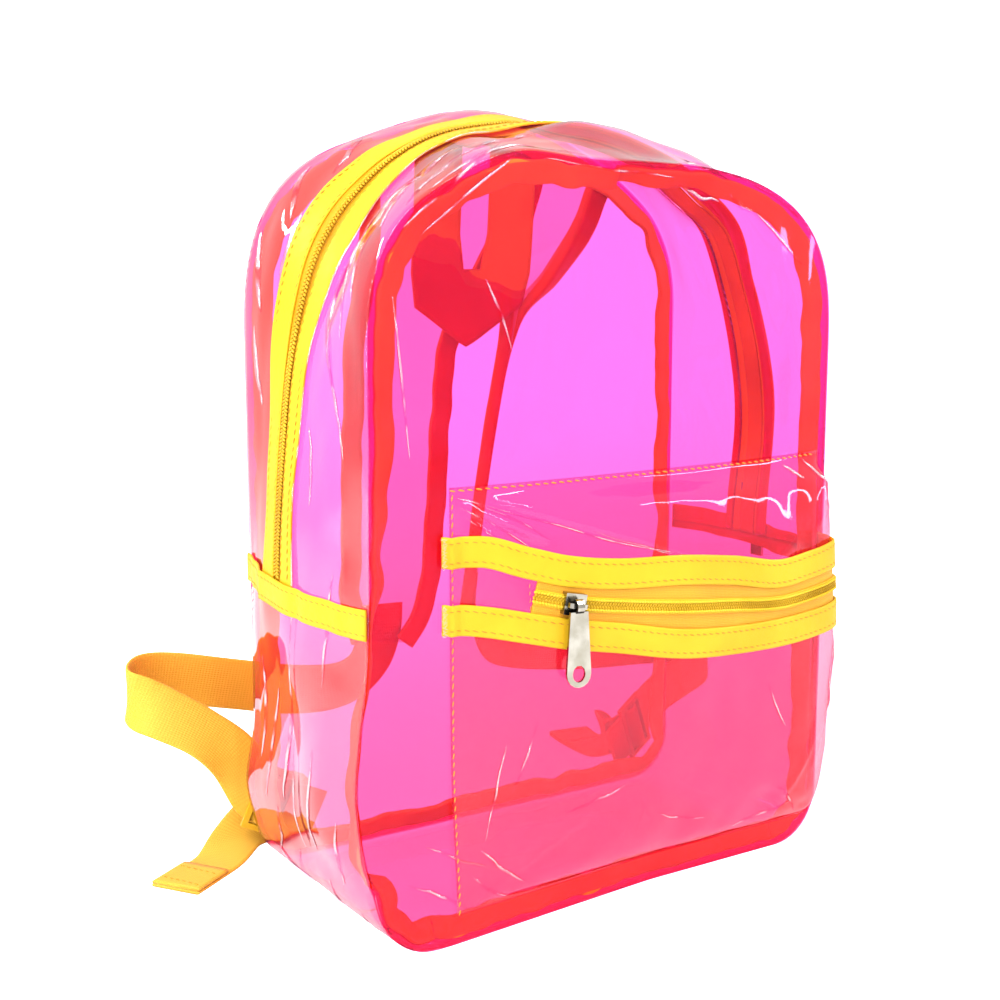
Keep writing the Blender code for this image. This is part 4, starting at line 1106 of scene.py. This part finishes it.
# sharp folds of the film, each a low ridge along the skin
creases = {
    # on the gusset: station share round the ring from the floor's middle, and y, at both ends; width, height
    "gusset": (
        (0.600, -50, 0.545, -30, 1.5, 0.7), (0.612, -44, 0.560, -22, 1.2, 0.6), (0.590, -53, 0.535, -44, 1.6, 0.8),
        (0.640, -40, 0.585, -26, 1.6, 0.7), (0.655, -34, 0.600, -18, 1.1, 0.5), (0.675, -30, 0.640, -16, 1.8, 0.7),
        (0.565, -40, 0.520, -20, 1.2, 0.6), (0.615, 30, 0.590, 46, 2.2, 0.8), (0.650, 34, 0.622, 50, 2.4, 0.9),
        (0.590, 28, 0.566, 42, 1.8, 0.8), (0.700, -40, 0.665, -26, 1.3, 0.5), (0.720, -18, 0.690, -12, 1.4, 0.5),
        (0.790, -30, 0.745, -34, 1.3, 0.6), (0.845, 4, 0.800, -6, 1.6, 0.7), (0.850, 24, 0.800, 12, 1.4, 0.6),
        (0.860, -20, 0.815, -28, 1.2, 0.6), (0.835, 34, 0.790, 30, 1.6, 0.7), (0.878, 30, 0.850, 12, 1.5, 0.6),
        (0.868, -38, 0.840, -44, 1.4, 0.6), (0.905, 22, 0.868, 4, 1.4, 0.7), (0.905, 20, 0.870, 30, 1.3, 0.6),
        (0.912, -14, 0.872, -24, 1.2, 0.6), (0.925, -34, 0.880, -40, 1.2, 0.5), (0.645, 22, 0.610, 27, 3.0, 0.9),
        (0.630, -18, 0.575, -22, 2.4, 0.8), (0.685, 34, 0.655, 42, 2.4, 0.8), (0.470, -52, 0.430, -50, 1.8, 0.9),
        (0.425, -50, 0.395, -53, 1.8, 0.9),
    ),
    # on the pocket: place across and height in mm at both ends; width, height
    "pocket": (
        (0.015, 184, 0.185, 166, 1.3, 0.8), (0.020, 180, 0.165, 160, 1.2, 0.8), (0.030, 176, 0.15, 156, 1.1, 0.6),
        (0.030, 183, 0.56, 151, 1.0, 0.6), (0.28, 168, 0.60, 150, 0.9, 0.5), (0.86, 184, 0.90, 178, 1.8, 0.9),
        (0.925, 186, 0.985, 170, 1.8, 0.9), (0.955, 168, 0.985, 158, 1.5, 0.8), (0.96, 104, 0.93, 60, 1.5, 0.7),
        (0.05, 40, 0.16, 22, 1.6, 0.8), (0.03, 30, 0.12, 17, 1.5, 0.8), (0.22, 52, 0.36, 60, 1.3, 0.6),
        (0.10, 84, 0.06, 44, 1.2, 0.6), (0.80, 40, 0.90, 22, 1.8, 0.8), (0.70, 24, 0.88, 30, 1.4, 0.6),
        (0.16, 92, 0.11, 62, 1.1, 0.5), (0.45, 44, 0.60, 34, 1.2, 0.5), (0.74, 92, 0.80, 70, 1.2, 0.5),
    ),
    # on the front panel: x and z at both ends; width, height
    "front": (
        (-104, 288, -60, 316, 1.6, 0.8), (-96, 286, -52, 311, 1.5, 0.7), (-110, 262, -104, 200, 1.4, 0.6),
        (28, 306, 50, 300, 2.0, 1.0), (56, 303, 70, 296, 2.0, 1.0), (70, 296, 100, 272, 1.4, 0.7),
        (-40, 311, 26, 309, 1.3, 0.6), (-70, 268, -60, 240, 1.4, 0.5),
        (-108, 30, -80, 14, 1.5, 0.7), (-100, 44, -60, 26, 1.2, 0.5),
    ),
}


def creasePiece(name, rows):
    # each row: path points with outward directions, width and height; all ridges are one piece
    points, faces = [], []
    for path, width, height in rows:
        count = len(path)
        for i, (middle, out) in enumerate(path):
            along = path[min(i + 1, count - 1)][0] - path[max(i - 1, 0)][0]
            side = along.cross(out).normalized()
            taper = math.sin(math.pi * (i + 0.4) / (count - 0.2)) ** 0.6
            for a, h in ((-1, -0.3), (-0.5, 0.7), (0, 1), (0.5, 0.7), (1, -0.3), (0, -0.5)):
                points.append(middle + side * a * width / 2 * taper + out * (h * height * taper + 0.2))
        base = len(points) - count * 6
        for i in range(count - 1):
            a, b = base + i * 6, base + i * 6 + 6
            faces += [(a + k, a + (k + 1) % 6, b + (k + 1) % 6, b + k) for k in range(6)]
        faces += [tuple(base + k for k in range(6)), tuple(base + (count - 1) * 6 + k for k in range(6))]
    meshPiece(name, points, faces, "crease", "pink_film")


def bent(i, seed):
    # a gentle sideways bend along a ridge
    arch = math.sin(math.pi * i / (ridgeSteps - 1)) * ridgeBend * math.sin(seed * 7.3)
    return arch + wave(Vector((i * 1.7, seed * 31.0, 0)), 9.0, ridgeBend * 0.5)


ridgeSteps, ridgeBend = 25, 2.0


def foldRows(kind):
    rows = []
    for seed, (a, b, c, d, width, height) in enumerate(creases[kind]):
        path = []
        for i in range(ridgeSteps):
            t = i / (ridgeSteps - 1)
            first, second = a + (c - a) * t, b + (d - b) * t + bent(i, seed + 1)
            if kind == "gusset":
                path.append((gussetPoint(first * stationCount, second), gussetOut(first * stationCount)))
            elif kind == "pocket":
                path.append((pocketPoint(first, second), pocketOut(first, second)))
            else:
                path.append((frontSkin(first, second) + ahead * 0.2, ahead))
        rows.append((path, width * (1.7 if kind == "gusset" else 1.0), height))
    return rows


def litEdgeRows():
    rows = []
    for first in range(int(stationCount * 0.52), int(stationCount * 0.84), 12):
        stations = [first + i * 0.5 for i in range(27)]
        path = [(gussetPoint(k, zipLow - 0.4, 0.9), gussetOut(k)) for k in stations]
        rows.append((path, 1.3, 0.5))
    return rows


creasePiece("gussetCreases", foldRows("gusset") + litEdgeRows())
creasePiece("pocketCreases", foldRows("pocket"))
creasePiece("frontCreases", foldRows("front"))
print("creases ready")

# straps behind the bag: shares of half the width, of the depth behind the back seam and of the height
up, down, aside = (0.0, 0.0, 1.0), (0.0, 0.0, -1.0), (1.0, 0.0, 0.0)
strap = {"width": 25.0, "thickness": 1.6, "edgeWidth": 10.5}
leftPad = (
    (-0.120, 0.040, 0.980, *aside, 94), (-0.125, 0.055, 0.925, *aside, 88), (-0.165, 0.085, 0.860, *aside, 76),
    (-0.215, 0.140, 0.795, *aside, 64),
    (-0.240, 0.190, 0.740, *aside, 58), (-0.255, 0.214, 0.635, *aside, 56), (-0.262, 0.241, 0.476, *aside, 54),
    (-0.280, 0.250, 0.349, *aside, 50), (-0.310, 0.250, 0.279, *aside, 32),
)
rightPad = (
    (0.460, 0.040, 0.955, *aside, 46), (0.440, 0.116, 0.890, 1, 0.12, 0, 46), (0.410, 0.223, 0.822, 1, 0.6, 0, 46),
    (0.358, 0.321, 0.756, 1, 1.3, 0, 46), (0.317, 0.393, 0.635, 1, 1.5, 0, 46), (0.283, 0.438, 0.508, 1, 1.5, 0, 46),
    (0.250, 0.464, 0.381, 1, 1.5, 0, 46), (0.217, 0.464, 0.305, 1, 1.5, 0, 29),
)
leftLead = (
    (-0.308, 0.280, 0.337, *aside), (-0.317, 0.286, 0.286, *aside), (-0.350, 0.330, 0.238, 0.85, 0.1, -0.5),
    (-0.450, 0.393, 0.206, 0.3, 0.1, -0.9), (-0.625, 0.455, 0.203, *down), (-0.875, 0.509, 0.222, *down),
    (-1.125, 0.536, 0.244, *down), (-1.267, 0.509, 0.251, *down), (-1.342, 0.429, 0.244, *down),
    (-1.317, 0.348, 0.232, 0, -0.4, -0.9), (-1.250, 0.286, 0.218, 0, -0.5, -0.86),
    (-1.125, 0.224, 0.188, 0, -0.5, -0.86), (-1.010, 0.180, 0.145, 0, -0.2, -0.97),
)
leftTail = (
    (-0.867, 0.268, 0.035, 0.3, -0.6, -0.8), (-0.983, 0.232, 0.016, 0.45, -0.85, -0.25),
    (-1.108, 0.107, 0.005, 0.48, -0.87, 0), (-1.233, 0.018, 0.004, 0.48, -0.87, 0),
    (-1.358, -0.071, 0.004, 0.48, -0.87, 0),
)
rightLead = (
    (0.258, 0.446, 0.349, 1, 1.5, 0), (0.243, 0.446, 0.292, 1, 1.5, 0), (0.300, 0.491, 0.244, 0.5, 0.7, 0.5),
    (0.450, 0.545, 0.213, 0.2, 0.2, 0.9), (0.700, 0.545, 0.191, *up), (0.967, 0.509, 0.181, *up),
    (1.217, 0.438, 0.181, *up), (1.367, 0.357, 0.178, *up), (1.433, 0.268, 0.168, *up), (1.375, 0.205, 0.156, *up),
    (1.250, 0.188, 0.140, *up), (1.133, 0.170, 0.127, *up), (1.033, 0.152, 0.111, *up),
)
rightTail = (
    (0.858, 0.321, 0.036, 0.7, 0.1, 0.6), (0.892, 0.446, 0.017, 0.9, 0, 0.22), (0.917, 0.571, 0.004, 1, -0.2, 0),
    (0.942, 0.714, 0.004, 1, -0.2, 0),
)


def strapRows(table):
    return [
        (x * body["width"] / 2, (y + 0.5) * body["depth"], z * body["height"], *rest) for x, y, z, *rest in table
    ]


def padPieces(label, side, table, edgeThickness):
    rows = splineRows(strapRows(table), 10)
    middles = [Vector(r[:3]) for r in rows]
    asides, widths = [], []
    for i, row in enumerate(rows):
        tangent = stepAt(middles, i).normalized()
        way = Vector(row[3:6])
        asides.append((way - tangent * way.dot(tangent)).normalized())
        widths.append(row[6])
    stripPiece("shoulderPad" + label, middles, asides, widths, 0.9, "padFilm", "pink_film", ["strap_pad_" + side])
    for letter, sign in (("a", -1), ("b", 1)):
        line = []
        for i, (m, a, w) in enumerate(zip(middles, asides, widths)):
            shift = w / 2 - 3.6 + wave(m, 15.0, 1.6, sign * 5.0)
            line.append(m + a * sign * shift)
        node = "strap_edge_%s_%s" % (side, letter)
        stripPiece(
            "padEdge%s%s" % (label, letter.upper()), line, asides, strap["edgeWidth"], edgeThickness, "binding",
            "yellow_vinyl", [node],
        )


padPieces("Left", "left", leftPad, 2.8)
padPieces("Right", "right", rightPad, 6.5)

adjusterPlace = {"left": (-0.892, 0.098, 0.0794), "right": (0.892, 0.098, 0.0794)}
weave = {"wall": 1.2, "length": 19.0, "bar": 2.6, "clearance": 0.45, "slope": 1.5, "footInset": 33.0, "rise": 16.0}


def webbingPiece(label, side, sign, lead, tail):
    centre = Vector(strapRows([adjusterPlace[side]])[0])
    footX = sign * (body["width"] / 2 - weave["footInset"])
    stand = panelDepth(shareOf(footX, weave["rise"] + 12), body["backBulge"]) + 2.4
    along = (Vector((footX, stand, weave["rise"])) - centre).normalized()
    out = along.cross(Vector((0.0, 0.0, -1.0))).normalized()
    upright = out.cross(along) * -sign
    over = weave["wall"] + strap["thickness"] / 2 + weave["clearance"]
    slot = (weave["length"] / 2 - weave["bar"] / 2) / 2
    near, far, width = slot - weave["slope"], slot + weave["slope"], strap["width"]
    points = (
        (-far - 0.08 * width, over), (-far, over * 0.64), (-slot, 0.0), (-near, -over * 0.64), (-near / 3, -over),
        (near / 3, -over), (near, -over * 0.64), (slot, 0.0), (far, over * 0.64), (far + 0.08 * width, over),
        (far + 0.24 * width, over + 0.06 * width), (far + 0.32 * width, over + 0.24 * width),
        (far + 0.2 * width, over + 0.44 * width),
    )
    rows = strapRows(lead)
    rows += [(*(centre + along * a + out * (-sign * o)), *upright) for a, o in points]
    rows += strapRows(tail)
    rows = splineRows(rows, 6)
    middles = [Vector(r[:3]) for r in rows]
    stripPiece(
        "strapWebbing" + label, middles, [Vector(r[3:6]) for r in rows], strap["width"], strap["thickness"], "webbing",
        "yellow_webbing", ["strap_webbing_" + side],
    )
    # the free end is folded back once and sewn across
    fold = [p + Vector((0.0, 0.0, strap["thickness"] * 0.9)) for p in middles[-9:]]
    ways = [Vector(r[3:6]) for r in rows[-9:]]
    stripPiece("strapEnd" + label, fold, ways, strap["width"] * 0.99, strap["thickness"], "webbing", "yellow_webbing")
    for tag, step in (("A", 2), ("B", 6)):
        middle, way = fold[step], ways[step].normalized()
        upright = Vector((0.0, 0.0, 1.0))
        path = [(middle + way * d + upright * (strap["thickness"] / 2 + 0.1), upright) for d in range(-10, 11)]
        stitchLine("strapEndStitch%s%s" % (label, tag), path, 37, slot="yellow_webbing")


webbingPiece("Left", "left", -1, leftLead, leftTail)
webbingPiece("Right", "right", 1, rightLead, rightTail)

handle = {"spread": 41.0, "drop": 64.0, "point": 15.0, "inset": 3.0, "clearance": 0.7, "lean": 7.0, "thickness": 1.6}


def haulHandlePiece():
    spread, arm = handle["spread"] / 2, strap["width"] / 2
    top = body["height"] - handle["inset"]
    low = top - handle["drop"]
    stand = panelDepth(shareOf(0.0, top), body["backBulge"]) + handle["clearance"]
    outside, inside, cut = spread + arm, spread - arm, arm / 4
    outer = [(-outside, top), (-outside, low + arm), (cut - outside, low), (0.0, low - handle["point"])]
    inner = [(-inside, top), (-inside, low + 2 * arm), (cut - inside, low + arm), (0.0, low + arm)]
    outer += [(-x, z) for x, z in reversed(outer[:-1])]
    inner += [(-x, z) for x, z in reversed(inner[:-1])]
    grid = []
    for (a, b), (c, d) in zip(zip(outer, inner), zip(outer[1:], inner[1:])):
        for s in range(8):
            t = s / 8
            far = (a[0] + (c[0] - a[0]) * t, a[1] + (c[1] - a[1]) * t)
            near = (b[0] + (d[0] - b[0]) * t, b[1] + (d[1] - b[1]) * t)
            grid.append([tuple(p + (q - p) * j / 10 for p, q in zip(far, near)) for j in range(11)])
    grid.append([(outer[-1][0] + (inner[-1][0] - outer[-1][0]) * j / 10, top) for j in range(11)])
    rows = []
    for line in grid:
        row = []
        for x, z in line:
            share = (top - z) / handle["drop"]
            row.append(Vector((x, stand + handle["lean"] * share * share, z)))
        rows.append(row)
    sheetPiece("haulHandle", rows, handle["thickness"], "binding", "yellow_webbing", ["haul_handle"])


haulHandlePiece()
print("straps ready")


# hard pieces keep their solids, with rounded edges
def dress(node, finish, bevel):
    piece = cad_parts[node]
    piece.data.materials.clear()
    piece.data.materials.append(finishes[finish])
    if bevel:
        modifier = piece.modifiers.new("Rounded", "BEVEL")
        modifier.width, modifier.segments, modifier.limit_method = bevel * mm, 3, "ANGLE"
        modifier.angle_limit = math.radians(35)


for node in ("pocket_zip_slider", "pocket_zip_pull", "main_zip_slider"):
    dress(node, "nickel", 0.3)
for node in ("strap_adjuster_left", "strap_adjuster_right"):
    dress(node, "vinyl", 0.4)
print("hard pieces ready")

# a plain pale room: white floor, white surround and soft lamps
studio = {"seen": 2.7, "light": 0.8, "floor": 3000.0}


def makeRoom():
    world = bpy.data.worlds.new("studio")
    scene.world = world
    world.use_nodes = True
    tree = world.node_tree
    back = tree.nodes["Background"]
    back.inputs["Color"].default_value = (1.0, 1.0, 1.0, 1.0)
    path = tree.nodes.new("ShaderNodeLightPath")
    mix = tree.nodes.new("ShaderNodeMapRange")
    mix.inputs["To Min"].default_value = studio["light"]
    mix.inputs["To Max"].default_value = studio["seen"]
    tree.links.new(path.outputs["Is Camera Ray"], mix.inputs["Value"])
    tree.links.new(mix.outputs["Result"], back.inputs["Strength"])
    f = Finish("whiteFloor")
    seen = f.add("ShaderNodeLightPath")[0]
    paint = f.body({"Base Color": (0.9, 0.9, 0.9, 1.0), "Roughness": 0.7})
    glow = f.add("ShaderNodeEmission", None, {"Color": (1.0, 1.0, 1.0, 1.0), "Strength": studio["seen"]})[0]
    finish = f.end(f.add("ShaderNodeMixShader", None, {0: seen, 1: paint, 2: glow})[0])
    size = studio["floor"] * mm
    mesh = bpy.data.meshes.new("studioFloor")
    mesh.from_pydata([(-size, -size, 0), (size, -size, 0), (size, size, 0), (-size, size, 0)], [], [(0, 1, 2, 3)])
    mesh.materials.append(finish)
    floor = bpy.data.objects.new("studioFloor", mesh)
    scene.collection.objects.link(floor)
    floor.location.z = -0.0005


def softLamp(name, place, aim, size, power, mirrored=True):
    data = bpy.data.lights.new(name, "AREA")
    data.shape = "RECTANGLE"
    data.size, data.size_y = size[0] * mm, size[1] * mm
    data.energy = power
    lamp = bpy.data.objects.new(name, data)
    scene.collection.objects.link(lamp)
    lamp.location = Vector(place) * mm
    lamp.rotation_euler = (Vector(aim) * mm - lamp.location).to_track_quat("-Z", "Y").to_euler()
    lamp.visible_camera = False
    lamp.visible_glossy = mirrored


makeRoom()
softLamp("keyLamp", (-900, -900, 1100), (0, 0, 150), (500, 700), 7.0, False)
softLamp("fillLeft", (-1300, 300, 500), (-150, 60, 80), (600, 600), 6.0, False)
softLamp("fillRight", (1000, -800, 600), (0, 0, 150), (700, 700), 3.0, False)
for name, place, size, power in (
    ("stripLeft", (-1100, -250, 500), (60, 800), 4.5), ("stripTop", (100, -500, 1200), (800, 60), 4.5),
    ("stripFront", (-300, -1200, 700), (60, 700), 3.0), ("stripBack", (-700, 700, 900), (700, 60), 4.0),
    ("stripRight", (900, -500, 700), (50, 800), 3.0), ("stripHigh", (-600, -100, 1200), (60, 700), 4.5),
):
    softLamp(name, place, (0, 0, 180), size, power)
print("room ready")
